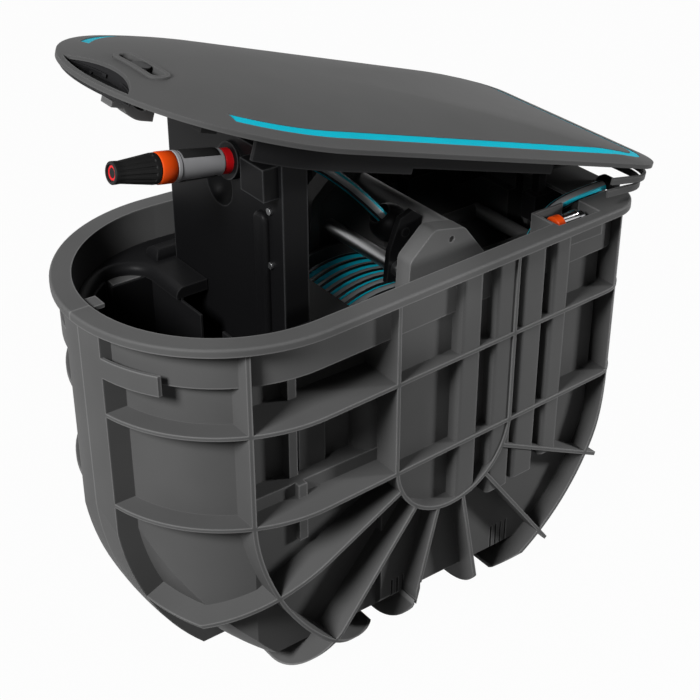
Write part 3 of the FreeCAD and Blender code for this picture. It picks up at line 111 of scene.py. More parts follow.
@dataclass
class HoseRun:
    """One run of striped garden hose.

    Attributes:
        name: Name of the piece.
        nodes: CAD nodes that the run stands for.
        body: Moving group that the run rides on.
        route: Control points of its spline, in metres.
        lay: How the run lies; not used.
        diameter: Outer diameter in metres.
        smooth: Steps of the spline between two control points.
    """

    name: str
    nodes: tuple[str, ...]
    body: Body
    route: Sequence[Point]
    lay: Lay
    diameter: float = 0.0155
    smooth: int = 12

    def build(self, skin: bpy.types.Material) -> None:
        """Args:
            skin: Material of the hose.
        """
        hose = nurbs_route(self.name, self.route)
        hose.data.resolution_u = self.smooth
        length = line_length(hose)
        hose.data.bevel_depth = self.diameter / 2
        hose.data.bevel_resolution = 6
        hose.data.use_fill_caps = True
        hose.data.materials.append(skin)
        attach(hose, self.body.value)
        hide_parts(*self.nodes)
        LOG.info("%s: %.3f m of hose", self.name, length)


@dataclass
class HoseWinding:
    """One layer of hose wound on the drum.

    Attributes:
        name: Name of the piece.
        node: CAD node that the layer stands for.
        radius: Radius of the centre line in metres.
        turns: Number of turns.
        pitch: Step along the axle per turn in metres.
        axle_height: Height of the axle in metres.
        peel: Angle in degrees where the outer end leaves the drum.
    """

    name: str
    node: str
    radius: float
    turns: int = 8
    pitch: float = 0.0164
    axle_height: float = 0.273
    peel: float = 33.8

    def route(self, per_turn: int = 16) -> list[Point]:
        """Control points of the winding.

        Args:
            per_turn: Control points in one turn.

        Returns:
            Points from the far side of the drum to the near side, in metres.
        """
        # A spline of order 3 runs inside its control points, so they stand a little further out.
        reach = self.radius / (0.75 + 0.25 * math.cos(math.tau / per_turn))
        count = self.turns * per_turn
        points = []
        for index in range(count + 1):
            share = index / per_turn
            turn = math.radians(self.peel) + math.tau * (share - self.turns)
            points.append((reach * math.cos(turn), self.pitch * (self.turns / 2 - share),
                           self.axle_height + reach * math.sin(turn)))
        return points

    def run(self) -> HoseRun:
        """Describe the layer as a run of hose.

        Returns:
            The run, which rides on the drum.
        """
        return HoseRun(self.name, (self.node,), Body.DRUM, self.route(), Lay.COILED, smooth=4)


LEAD = HoseRun("hose_lead_striped", ("hose_lead",), Body.PANEL, (
    (0.1094, -0.0659, 0.3649), (0.0871, -0.0666, 0.3981), (0.054, -0.04, 0.447),
    (0.019, -0.02, 0.5), (-0.04, -0.02, 0.566), (-0.096, -0.0205, 0.614),
    (-0.13495, -0.021, 0.63166), (-0.17242, -0.021, 0.638)), Lay.TAUT)
SUPPLY = HoseRun("supply_hose_striped", ("supply_hose",), Body.TUB, (
    (0.036, -0.130, 0.273), (0.092, -0.130, 0.273), (0.140, -0.129, 0.310),
    (0.150, -0.122, 0.385), (0.166, -0.109, 0.452), (0.201, -0.107, 0.494),
    (0.236, -0.117, 0.511), (0.284, -0.119, 0.5115)), Lay.LOOSE)
WOUND = HoseWinding("wound_hose_striped", "wound_hose", 0.142)
PACKED = HoseWinding("inner_hose_striped", "hose_pack", 0.1265)


def linear(code: str) -> tuple[float, float, float, float]:
    """Turn an sRGB colour into linear values.

    Args:
        code: Six hexadecimal digits, with or without a leading hash.

    Returns:
        Linear red, green and blue, and an alpha of one.
    """
    parts = [int(code.lstrip("#")[place:place + 2], 16) / 255 for place in (0, 2, 4)]
    flat = [part / 12.92 if part <= 0.04045 else ((part + 0.055) / 1.055) ** 2.4 for part in parts]
    return (flat[0], flat[1], flat[2], 1.0)


def add_node(tree: bpy.types.NodeTree, kind: str, inputs: dict[Any, Any] | None = None,
             **settings: Any) -> bpy.types.Node:
    """Add a shader node with its settings, constants and links.

    Args:
        tree: Node tree that the node goes into.
        kind: Type of the node without its ShaderNode prefix.
        inputs: Value or output socket for each input, by name or number.
        **settings: Properties of the node.

    Returns:
        The new node.
    """
    node = tree.nodes.new("ShaderNode" + kind)
    for key, value in settings.items():
        setattr(node, key, value)
    for key, value in (inputs or {}).items():
        if isinstance(value, bpy.types.NodeSocket):
            tree.links.new(value, node.inputs[key])
        else:
            node.inputs[key].default_value = value
    return node


def blank_material(name: str) -> tuple[bpy.types.Material, bpy.types.NodeTree]:
    """Make a material with an empty node tree.

    Args:
        name: Name of the real material.

    Returns:
        The material and its node tree.
    """
    material = bpy.data.materials.new(name)
    material.use_nodes = True
    material.node_tree.nodes.clear()
    return material, material.node_tree


@dataclass(frozen=True)
class Plastic:
    """Moulded plastic with a fine mould grain and a painted highlight along its edges.

    Attributes:
        name: Name of the real material.
        colour: Colour of the surface.
        edge_highlight: Painted highlight colour along its edges.
        roughness: Roughness of the surface.
        grain_mm: Size of the mould grain in millimetres.
        grain_depth_mm: Depth of the mould grain in millimetres.
        edge_mm: Radius that the edges are rounded to in millimetres.
        highlight_strength: How strongly the edges take the painted highlight colour.
        gloss: Level of the plain reflection.
        highlight_reach_mm: Distance from an edge that the painted highlight reaches in millimetres.
        highlight_open: Openness where the painted highlight starts and where it is full.
        cloud_scale: Scale of the clouds of slightly changing tone.
        cloud_tone: Lowest and highest tone of the clouds.
    """

    name: str
    colour: str
    edge_highlight: str
    roughness: float = 0.5
    grain_mm: float = 1.6
    grain_depth_mm: float = 0.05
    edge_mm: float = 0.9
    highlight_strength: float = 0.6
    gloss: float = 0.12
    highlight_reach_mm: float = 2.2
    highlight_open: tuple[float, float] = (0.95, 0.55)
    cloud_scale: float = 9.0
    cloud_tone: tuple[float, float] = (0.93, 1.05)

    def material(self) -> bpy.types.Material:
        """Build the material.

        Returns:
            Injection-moulded plastic: spark-eroded grain as bump, edges rounded in the shading and lightened
            with a painted highlight.
        """
        material, tree = blank_material(self.name)
        place = add_node(tree, "TexCoord").outputs["Object"]
        grain = add_node(tree, "TexNoise", {"Vector": place, "Scale": 1 / (self.grain_mm * MM),
                                            "Detail": 3.0})
        cloud = add_node(tree, "TexNoise", {"Vector": place, "Scale": self.cloud_scale, "Detail": 2.0})
        # Edges and thin parts, found by occlusion inside the piece, take a lighter colour: a painted
        # highlight.
        edge = add_node(tree, "AmbientOcclusion", {"Distance": self.highlight_reach_mm * MM}, samples=4,
                        inside=True, only_local=True)
        highlight_mask = add_node(tree, "MapRange", {"Value": edge.outputs["AO"], "From Min": self.highlight_open[0],
                                           "From Max": self.highlight_open[1], "To Max": self.highlight_strength})
        tone = add_node(tree, "MapRange", {"Value": cloud.outputs["Fac"], "From Min": 0.3, "From Max": 0.7,
                                           "To Min": self.cloud_tone[0], "To Max": self.cloud_tone[1]})
        base = add_node(tree, "Mix", {0: highlight_mask.outputs["Result"], 6: linear(self.colour),
                                      7: linear(self.edge_highlight)}, data_type="RGBA")
        shade = add_node(tree, "VectorMath", {0: base.outputs[2], 1: tone.outputs["Result"]},
                         operation="MULTIPLY")
        rounded = add_node(tree, "Bevel", {"Radius": self.edge_mm * MM}, samples=6)
        bump = add_node(tree, "Bump", {"Height": grain.outputs["Fac"], "Strength": 0.5,
                                       "Distance": self.grain_depth_mm * MM,
                                       "Normal": rounded.outputs["Normal"]})
        surface = add_node(tree, "BsdfPrincipled", {"Base Color": shade.outputs["Vector"],
                                                    "Roughness": self.roughness,
                                                    "Specular IOR Level": self.gloss,
                                                    "Normal": bump.outputs["Normal"]})
        add_node(tree, "OutputMaterial", {"Surface": surface.outputs["BSDF"]})
        return material


@dataclass(frozen=True)
class Metal:
    """Plated or bare metal with a faint brushing.

    Attributes:
        name: Name of the real material.
        colour: Colour of the metal.
        roughness: Mean roughness.
        brush_mm: Spacing of the brushing in millimetres.
        brush_stretch: Scale of the brushing along Y beside the other ways.
        swing: How far the roughness moves to each side of its mean.
        edge_mm: Radius that the edges are rounded to in millimetres.
    """

    name: str
    colour: str
    roughness: float = 0.28
    brush_mm: float = 1.2
    brush_stretch: float = 0.15
    swing: float = 0.08
    edge_mm: float = 0.6

    def material(self) -> bpy.types.Material:
        """Build the material.

        Returns:
            Brushed metal: stretched noise moves the roughness, edges rounded in the shading.
        """
        material, tree = blank_material(self.name)
        place = add_node(tree, "TexCoord").outputs["Object"]
        stretched = add_node(tree, "Mapping", {"Vector": place, "Scale": (1.0, self.brush_stretch, 1.0)})
        brush = add_node(tree, "TexNoise", {"Vector": stretched.outputs["Vector"],
                                            "Scale": 1 / (self.brush_mm * MM)})
        rough = add_node(tree, "MapRange", {"Value": brush.outputs["Fac"],
                                            "To Min": self.roughness - self.swing,
                                            "To Max": self.roughness + self.swing})
        rounded = add_node(tree, "Bevel", {"Radius": self.edge_mm * MM}, samples=6)
        surface = add_node(tree, "BsdfPrincipled", {"Base Color": linear(self.colour), "Metallic": 1.0,
                                                    "Roughness": rough.outputs["Result"],
                                                    "Normal": rounded.outputs["Normal"]})
        add_node(tree, "OutputMaterial", {"Surface": surface.outputs["BSDF"]})
        return material


@dataclass(frozen=True)
class StripedHose:
    """Garden hose of grey rubber with coloured stripes along it.

    Attributes:
        name: Name of the real material.
        ground: Colour between the stripes.
        stripe: Colour of the stripes.
        line: Colour of the dark band on one side of each stripe.
        count: Stripes around the hose.
        share: Share of the hose's round that the stripes take.
        line_share: Share of the hose's round that the dark bands take.
        roughness: Roughness of the rubber.
        knit_mm: Size of the knit that shows through in millimetres.
        knit_depth_mm: Depth of the knit in millimetres.
    """

    name: str
    ground: str
    stripe: str
    line: str
    count: int = 3
    share: float = 0.34
    line_share: float = 0.22
    roughness: float = 0.45
    knit_mm: float = 1.4
    knit_depth_mm: float = 0.1

    def material(self) -> bpy.types.Material:
        """Build the material.

        Returns:
            Extruded rubber: stripes across the hose's own UV map, with a fine knit in the bump.
        """
        material, tree = blank_material(self.name)
        uv = add_node(tree, "UVMap", uv_map="UVMap")
        parts = add_node(tree, "SeparateXYZ", {"Vector": uv.outputs["UV"]})
        rounds = add_node(tree, "Math", {0: parts.outputs["Y"], 1: float(self.count)}, operation="MULTIPLY")
        within = add_node(tree, "Math", {0: rounds.outputs["Value"]}, operation="FRACT")
        before = add_node(tree, "Math", {0: within.outputs["Value"], 1: self.share}, operation="LESS_THAN")
        upto = add_node(tree, "Math", {0: within.outputs["Value"], 1: self.share + self.line_share},
                        operation="LESS_THAN")
        banded = add_node(tree, "Mix", {0: upto.outputs["Value"], 6: linear(self.ground),
                                        7: linear(self.line)}, data_type="RGBA")
        colour = add_node(tree, "Mix", {0: before.outputs["Value"], 6: banded.outputs[2],
                                        7: linear(self.stripe)}, data_type="RGBA")
        place = add_node(tree, "TexCoord").outputs["Object"]
        knit = add_node(tree, "TexNoise", {"Vector": place, "Scale": 1 / (self.knit_mm * MM)})
        bump = add_node(tree, "Bump", {"Height": knit.outputs["Fac"], "Strength": 0.3,
                                       "Distance": self.knit_depth_mm * MM})
        surface = add_node(tree, "BsdfPrincipled", {"Base Color": colour.outputs[2],
                                                    "Roughness": self.roughness,
                                                    "Normal": bump.outputs["Normal"]})
        add_node(tree, "OutputMaterial", {"Surface": surface.outputs["BSDF"]})
        return material


# The second colour of each plastic is the painted highlight along its edges.
TUB_PLASTIC = Plastic("moulded_grey_polypropylene", "#585858", "#868686", highlight_strength=0.7, gloss=0.05)
LID_PLASTIC = Plastic("lid_grey_polypropylene", "#4a4a4a", "#626262", roughness=0.55, highlight_strength=0.4,
                      gloss=0.06)
REEL_PLASTIC = Plastic("reel_grey_polypropylene", "#5a5a5a", "#787878")
TUBE_PLASTIC = Plastic("carry_tube_grey_polypropylene", "#7c7c7c", "#909090", roughness=0.4)
BLACK_PLASTIC = Plastic("black_polypropylene", "#161617", "#323233", roughness=0.42, highlight_strength=0.5, gloss=0.06)
PANEL_PLASTIC = Plastic("panel_black_polypropylene", "#0f0f10", "#48494a", roughness=0.42, gloss=0.06)
SOFT_BLACK = Plastic("soft_black_elastomer", "#1d1d1d", "#343434", roughness=0.6, highlight_strength=0.3)
TEAL_PLASTIC = Plastic("teal_polypropylene", "#00b0c8", "#14b8cc", roughness=0.5, highlight_strength=0.2, gloss=0.03)
ORANGE_PLASTIC = Plastic("orange_nylon", "#e04a10", "#f07434", roughness=0.35, highlight_strength=0.3)
RED_PLASTIC = Plastic("red_nylon", "#cf141b", "#e8484c", roughness=0.35, highlight_strength=0.3)
GREY_PLASTIC = Plastic("light_grey_nylon", "#9b9b9d", "#b9b9bb", roughness=0.38, highlight_strength=0.3)
BOLT_STEEL = Metal("zinc_plated_steel", "#a8a9aa", 0.35)
SILVER = Metal("nickel_plated_brass", "#c4c5c7", 0.24)
HOSE_RUBBER = StripedHose("striped_hose_rubber", "#a4a7a9", "#00d6f0", "#101112")

NODE_FINISHES: dict[str, Plastic | Metal] = {
    "tub_half_near": TUB_PLASTIC, "tub_half_far": TUB_PLASTIC, "tray": BLACK_PLASTIC,
    "seam_bolts": BOLT_STEEL, "seam_nuts": BOLT_STEEL,
    "lift_panel": PANEL_PLASTIC, "panel_screws": BOLT_STEEL, "nozzle_holder": PANEL_PLASTIC,
    "hose_connector": RED_PLASTIC,
    "reel_frame_near": REEL_PLASTIC, "reel_frame_far": REEL_PLASTIC, "carry_tube": TUBE_PLASTIC,
    "guide_bar": BOLT_STEEL, "axle": BOLT_STEEL, "spring_case": BLACK_PLASTIC,
    "rear_handle": REEL_PLASTIC, "drum_barrel": BLACK_PLASTIC, "drum_flange_near": REEL_PLASTIC,
    "drum_flange_far": REEL_PLASTIC, "hose_guide": BLACK_PLASTIC, "guide_bracket": BLACK_PLASTIC,
    "inlet_elbow": BLACK_PLASTIC, "hose_duct": BLACK_PLASTIC,
    "lid_shell": LID_PLASTIC, "lid_stripe": TEAL_PLASTIC, "lid_liner": BLACK_PLASTIC,
    "lock_bezel": LID_PLASTIC, "lock_slider": BLACK_PLASTIC, "latch_hook": REEL_PLASTIC,
    "latch_pin": BOLT_STEEL, "latch_cheeks": BLACK_PLASTIC, "lid_bumpers": SOFT_BLACK,
    "lamella_upper": LID_PLASTIC, "lamella_lower": LID_PLASTIC, "lid_arms": BLACK_PLASTIC,
    "arm_guides": BLACK_PLASTIC, "latch_keeper": TUB_PLASTIC,
}


class Finishes:
    """Materials made so far, one for each finish."""

    def __init__(self) -> None:
        """Start with no materials."""
        self._made: dict[str, bpy.types.Material] = {}

    def of(self, finish: Plastic | Metal | StripedHose) -> bpy.types.Material:
        """Give the material of a finish and make it when it is first asked for.

        Args:
            finish: Finish that is wanted.

        Returns:
            Its material.
        """
        if finish.name not in self._made:
            self._made[finish.name] = finish.material()
        return self._made[finish.name]


def mesh_piece(name: str, shape: bmesh.types.BMesh, place: Matrix, sharp: float = 35.0) -> bpy.types.Object:
    """Turn a finished shape into a smooth-shaded object at the origin.

    Args:
        name: Name of the piece.
        shape: Shape in its own frame, in metres; it is freed.
        place: Where the shape goes in the object's frame.
        sharp: Angle in degrees above which an edge stays sharp.

    Returns:
        The linked object.
    """
    bmesh.ops.transform(shape, matrix=place, verts=shape.verts)
    bmesh.ops.recalc_face_normals(shape, faces=shape.faces)
    mesh = bpy.data.meshes.new(name)
    shape.to_mesh(mesh)
    shape.free()
    mesh.shade_smooth()
    mesh.set_sharp_from_angle(angle=math.radians(sharp))
    obj = bpy.data.objects.new(name, mesh)
    bpy.context.scene.collection.objects.link(obj)
    return obj


def turned(profile: Profile, steps: int = 64) -> bmesh.types.BMesh:
    """Turn a profile about the X axis.

    Args:
        profile: Distance towards minus X and radius of each corner, in millimetres.
        steps: Steps of the full turn.

    Returns:
        The turned shape in metres.
    """
    shape = bmesh.new()
    verts = [shape.verts.new((-along * MM, 0.0, radius * MM)) for along, radius in profile]
    edges = [shape.edges.new(pair) for pair in zip(verts, verts[1:])]
    bmesh.ops.spin(shape, geom=verts + edges, cent=(0, 0, 0), axis=(1, 0, 0), angle=math.tau, steps=steps,
                   use_merge=True)
    bmesh.ops.remove_doubles(shape, verts=shape.verts, dist=WELD)
    return shape


@dataclass(frozen=True)
class Flutes:
    """Grip flutes pressed into a turned shape.

    Attributes:
        count: Flutes around the shape.
        depth: Share of the radius that a flute takes away.
        power: Power of the flute's wave; under one it is flatter at its bottom.
        smooth: Steps of the turned shape for each flute.
    """

    count: int
    depth: float
    power: float = 1.0
    smooth: int = 8

    def steps(self) -> int:
        """Steps of the full turn that the flutes need.

        Returns:
            The number of steps.
        """
        return self.count * self.smooth

    def press(self, shape: bmesh.types.BMesh, start: float, end: float) -> None:
        """Press the flutes into part of a turned shape.

        Args:
            shape: Shape turned about the X axis.
            start: Distance towards minus X where the flutes start, in millimetres.
            end: Distance where they end.
        """
        for vert in shape.verts:
            if not start < -vert.co.x / MM < end:
                continue
            turn = math.atan2(vert.co.z, vert.co.y)
            away = 1.0 - self.depth * max(0.0, math.cos(self.count * turn)) ** self.power
            vert.co.y *= away
            vert.co.z *= away


def round_edges(shape: bmesh.types.BMesh, edges: Sequence[bmesh.types.BMEdge], radius: float,
                segments: int) -> None:
    """Round some edges of a shape.

    Args:
        shape: Shape that the edges belong to.
        edges: Edges to round.
        radius: Radius in millimetres.
        segments: Steps across the rounding.
    """
    bmesh.ops.bevel(shape, geom=edges, offset=radius * MM, affect="EDGES", segments=segments, profile=0.5,
                    material=-1)


def dress(piece: bpy.types.Object, material: bpy.types.Material, body: Body,
          nodes: tuple[str, ...] = ()) -> None:
    """Give a piece its material, its moving group and the CAD nodes that it stands for.

    Args:
        piece: Finished piece.
        material: Material of the piece.
        body: Moving group that it rides on.
        nodes: CAD nodes that it stands for, none for a detail on another piece.
    """
    piece.data.materials.append(material)
    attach(piece, body.value)
    if nodes:
        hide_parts(*nodes)
    LOG.info("%s rides on %s and stands for %s", piece.name, body.value, ", ".join(nodes) or "no node")


@dataclass
class Nozzle:
    """Spray nozzle held by the lift panel.

    Attributes:
        seat: Point on the panel where the nozzle's axis starts, in metres.
        tilt: Rise of the nozzle towards its tip in degrees.
        body_start: Distance of the body's tail from the seat in millimetres.
        body_end: Distance of the body's front.
        ring_end: Distance of the ring's front.
        head_end: Distance of the head's tip.
        radius: Largest radius of the body.
        nose: Radius of the tip.
        ring_gap: Gap between the body and the ring.
        head_gap: Gap between the ring and the head.
        cone_length: Length of the head's cone.
        cone_steps: Steps along the cone.
        jet_depth: Depth of the jet plate's rim behind the tip.
        jet_inset: How much smaller the jet plate is than the tip.
        pad_tail: Distance of a pad from the body's tail.
        pad_front: Distance of a pad from the body's front.
        pad_angle: Angle that a pad takes around the body in degrees.
        pad_thick: Thickness of a pad.
        pad_round: Radius of a pad's edges.
        flutes: Grip flutes around the head.
    """

    seat: Point = (-0.202, -0.021, 0.643)
    tilt: float = 9.6
    body_start: float = 17.0
    body_end: float = 79.0
    ring_end: float = 98.0
    head_end: float = 152.0
    radius: float = 17.5
    nose: float = 12.5
    ring_gap: float = 0.3
    head_gap: float = 0.2
    cone_length: float = 37.0
    cone_steps: int = 8
    jet_depth: float = 1.8
    jet_inset: float = 4.4
    pad_tail: float = 7.0
    pad_front: float = 8.0
    pad_angle: float = 84.0
    pad_thick: float = 1.1
    pad_round: float = 0.5
    flutes: Flutes = Flutes(count=14, depth=0.085, power=0.5)

    def place(self) -> Matrix:
        """Where the nozzle's own frame lies.

        Returns:
            Its matrix in the object's frame.
        """
        return Matrix.Translation(Vector(self.seat)) @ Matrix.Rotation(math.radians(self.tilt), 4, "Y")

    def body(self) -> bpy.types.Object:
        """Turn the grey body with its waist and front collar.

        Returns:
            The body piece.
        """
        start, end, full = self.body_start, self.body_end, self.radius
        profile = ((start, 0), (start, full - 4), (start + 1.6, full - 2.4), (start + 12, full - 2.2),
                   (start + 30, full - 1.4), (end - 6, full - 0.6), (end - 5, full + 0.1),
                   (end - 1, full + 0.1), (end, full - 0.9), (end, 0))
        return mesh_piece("nozzle_body_turned", turned(profile), self.place(), sharp=28)

    def ring(self) -> bpy.types.Object:
        """Turn the crowned selector ring.

        Returns:
            The ring piece.
        """
        start, end, full = self.body_end + self.ring_gap, self.ring_end, self.radius
        bore = full / 2 + 0.4
        profile = ((start, bore), (start, full - 0.3), (start + 1.2, full + 0.4), (start + 9, full + 0.5),
                   (end - 1.4, full + 0.4), (end, full - 0.4), (end, bore), (start, bore))
        return mesh_piece("nozzle_ring_turned", turned(profile), self.place(), sharp=40)

    def head(self) -> bpy.types.Object:
        """Turn the head and press grip flutes into its cone.

        Returns:
            The head piece.
        """
        start, end, full, nose = self.ring_end + self.head_gap, self.head_end, self.radius, self.nose
        profile = [(start, 0), (start, full - 1.4), (start + 1.4, full - 0.3), (start + 6, full - 0.3)]
        for step in range(self.cone_steps + 1):
            share = step / self.cone_steps
            profile.append((start + 7 + share * self.cone_length, full - 0.5 - share * (full - nose - 0.2)))
        profile += [(end - 5, nose), (end - 1, nose), (end, nose - 1), (end, nose - 3), (end - 2, nose - 3),
                    (end - 2, 0)]
        shape = turned(profile, self.flutes.steps())
        self.flutes.press(shape, start + 6.5, end - 7)
        return mesh_piece("nozzle_head_fluted", shape, self.place(), sharp=24)

    def jet(self) -> bpy.types.Object:
        """Turn the jet plate with its raised rim around a deep eye.

        Returns:
            The jet piece.
        """
        front, full = self.head_end - self.jet_depth, self.nose - self.jet_inset
        profile = ((front - 3, 0), (front - 3, full), (front, full), (front, full - 2.4),
                   (front - 1.4, full - 3), (front - 1.4, 1.6), (front - 0.4, 1.4), (front - 0.4, 0))
        return mesh_piece("nozzle_jet_turned", turned(profile, steps=40), self.place(), sharp=30)

    def pad(self, name: str, turn: float) -> bpy.types.Object:
        """Wrap a soft pad around part of the body.

        Args:
            name: Name of the piece.
            turn: Angle of the pad's middle about the axis in degrees, zero at the top.

        Returns:
            The pad piece.
        """
        start, end, full = self.body_start + self.pad_tail, self.body_end - self.pad_front, self.radius
        wide = math.radians(self.pad_angle)
        shape = bmesh.new()
        line = ((start, full - 2.4), (start + 8, full - 2.2), (start + 24, full - 1.6), (end, full - 0.7))
        verts = [shape.verts.new((-along * MM, 0.0, radius * MM)) for along, radius in line]
        edges = [shape.edges.new(pair) for pair in zip(verts, verts[1:])]
        first = Matrix.Rotation(math.radians(turn) - wide / 2, 3, "X")
        bmesh.ops.rotate(shape, verts=verts, matrix=first)
        bmesh.ops.spin(shape, geom=verts + edges, cent=(0, 0, 0), axis=(1, 0, 0), angle=wide, steps=14)
        bmesh.ops.recalc_face_normals(shape, faces=shape.faces)
        middle = Vector((-(start + end) / 2 * MM, 0.0, 0.0))
        face = next(iter(shape.faces))
        if face.normal.dot(face.calc_center_median() - middle) < 0:
            bmesh.ops.reverse_faces(shape, faces=shape.faces)
        bmesh.ops.solidify(shape, geom=shape.faces, thickness=-self.pad_thick * MM)
        bmesh.ops.recalc_face_normals(shape, faces=shape.faces)
        rims = [edge for edge in shape.edges if edge.calc_face_angle(0.0) > math.radians(60)]
        round_edges(shape, rims, self.pad_round, segments=2)
        return mesh_piece(name, shape, self.place(), sharp=50)

    def build(self, finishes: Finishes) -> None:
        """Build and dress every piece of the nozzle.

        Args:
            finishes: Materials to take from.
        """
        for name, turn in (("nozzle_pad_top", 0.0), ("nozzle_pad_under", 180.0)):
            pad = self.pad(name, turn)
            dress(pad, finishes.of(SOFT_BLACK), Body.PANEL, ("nozzle_grip",))
        dress(self.body(), finishes.of(GREY_PLASTIC), Body.PANEL, ("nozzle_body",))
        dress(self.ring(), finishes.of(ORANGE_PLASTIC), Body.SPRAY_HEAD, ("nozzle_ring",))
        dress(self.head(), finishes.of(SOFT_BLACK), Body.SPRAY_HEAD, ("nozzle_head",))
        dress(self.jet(), finishes.of(RED_PLASTIC), Body.SPRAY_HEAD, ("nozzle_jet",))


@dataclass
class PanelBead:
    """Rounded bead down the face of the lift panel.

    Attributes:
        face: Place of the panel's face along X in millimetres.
        middle: Place of the bead's middle along Y in millimetres.
        wide: Width of the bead in millimetres.
        proud: Height of the bead over the face in millimetres.
        sunk: Depth of the bead's back under the face in millimetres.
        low: Lower end in millimetres.
        high: Upper end in millimetres.
        top_round: Radius of the upper corners in millimetres.
        front_round: Radius of the front edges in millimetres.
    """

    face: float = -202.0
    middle: float = -79.0
    wide: float = 24.0
    proud: float = 7.0
    sunk: float = 2.0
    low: float = 400.0
    high: float = 604.0
    top_round: float = 10.0
    front_round: float = 5.0

    def build(self, finishes: Finishes) -> None:
        """Build and dress the bead.

        Args:
            finishes: Materials to take from.
        """
        shape = bmesh.new()
        bmesh.ops.create_cube(shape, size=1.0)
        deep = self.proud + self.sunk
        scale = Vector((deep * MM, self.wide * MM, (self.high - self.low) * MM))
        bmesh.ops.scale(shape, vec=scale, verts=shape.verts)
        tops = [edge for edge in shape.edges if all(vert.co.z > 0 for vert in edge.verts)
                and edge.verts[0].co.y * edge.verts[1].co.y > 0]
        round_edges(shape, tops, self.top_round, segments=6)
        fronts = [edge for edge in shape.edges if all(vert.co.x < 0 for vert in edge.verts)]
        round_edges(shape, fronts, self.front_round, segments=4)
        spot = Vector((self.face - self.proud + deep / 2, self.middle, (self.low + self.high) / 2)) * MM
        bead = mesh_piece("panel_bead", shape, Matrix.Translation(spot), sharp=50)
        dress(bead, finishes.of(PANEL_PLASTIC), Body.PANEL)


@dataclass
class GripCup:
    """Dark cup under the lens-shaped grip in the lid, drawn with the lid closed.

    Attributes:
        end_centre: Middle of the lid's round front along X in millimetres.
        end_radius: Radius of the cup's front edge.
        lead_centre: Middle of the cup's rear edge along X.
        lead_radius: Radius of the cup's rear edge.
        low: Underside of the cup.
        deep: Thickness of the cup.
        wall_top: Top of the rear wall at its middle.
        wall_fall: Fall of the wall's top per square millimetre of its place along Y.
        hinge: Lid's turning axis, along X and Z.
        opened: Angle of the lid at rest in degrees.
        steps: Steps along each round edge.
    """

    end_centre: float = -206.0
    end_radius: float = 196.5
    lead_centre: float = -477.0
    lead_radius: float = 114.5
    low: float = 512.5
    deep: float = 1.6
    wall_top: float = 529.6
    wall_fall: float = 0.0015
    hinge: tuple[float, float] = (410.0, 522.5)
    opened: float = 18.0
    steps: int = 24

    def spread(self) -> tuple[float, float]:
        """Half angles of the rear and front edges where they meet.

        Returns:
            The rear edge's and the front edge's half angle in radians.
        """
        apart = self.end_centre - self.lead_centre
        meet = (apart ** 2 + self.lead_radius ** 2 - self.end_radius ** 2) / (2 * apart)
        half = math.sqrt(self.lead_radius ** 2 - meet ** 2)
        return math.asin(half / self.lead_radius), math.asin(half / self.end_radius)

    def rear_edge(self, radius: float) -> list[tuple[float, float]]:
        """Points along the cup's rear edge.

        Args:
            radius: Radius of the edge in millimetres.

        Returns:
            Places along X and Y in millimetres, from the near end to the far end.
        """
        half = self.spread()[0]
        turns = [half * (2 * step / self.steps - 1) for step in range(self.steps + 1)]
        return [(self.lead_centre + radius * math.cos(turn), radius * math.sin(turn)) for turn in turns]

    def outline(self) -> list[tuple[float, float]]:
        """Corners of the lens between the two round edges.

        Returns:
            Places along X and Y in millimetres, once around.
        """
        half = self.spread()[1]
        turns = [half * (1 - 2 * step / self.steps) for step in range(self.steps)]
        nose = [(self.end_centre - self.end_radius * math.cos(turn), self.end_radius * math.sin(turn))
                for turn in turns]
        return self.rear_edge(self.lead_radius)[:-1] + nose

    def wall(self, shape: bmesh.types.BMesh) -> None:
        """Add the curved wall behind the fingers, up into the lid's shell.

        Args:
            shape: Shape that the wall goes into.
        """
        rows = []
        inner = self.rear_edge(self.lead_radius)
        outer = self.rear_edge(self.lead_radius + self.deep)
        for near, away in zip(inner, outer):
            top = self.wall_top - self.wall_fall * near[1] ** 2
            corners = ((*near, self.low), (*near, top), (*away, top), (*away, self.low))
            rows.append([shape.verts.new(Vector(corner) * MM) for corner in corners])
        for row, following in zip(rows, rows[1:]):
            for index, corner in enumerate(row):
                shape.faces.new((row[index - 1], corner, following[index], following[index - 1]))
        shape.faces.new(rows[0])
        shape.faces.new(rows[-1])

    def build(self, finishes: Finishes) -> None:
        """Build and dress the cup.

        Args:
            finishes: Materials to take from.
        """
        shape = bmesh.new()
        corners = [shape.verts.new((x * MM, y * MM, self.low * MM)) for x, y in self.outline()]
        raised = bmesh.ops.extrude_face_region(shape, geom=[shape.faces.new(corners)])
        tops = [item for item in raised["geom"] if isinstance(item, bmesh.types.BMVert)]
        bmesh.ops.translate(shape, vec=Vector((0.0, 0.0, self.deep * MM)), verts=tops)
        self.wall(shape)
        axis = Matrix.Translation(Vector((self.hinge[0], 0.0, self.hinge[1])) * MM)
        turn = Matrix.Rotation(math.radians(self.opened), 4, "Y")
        cup = mesh_piece("lid_grip_cup", shape, axis @ turn @ axis.inverted(), sharp=40)
        dress(cup, finishes.of(BLACK_PLASTIC), Body.LID)


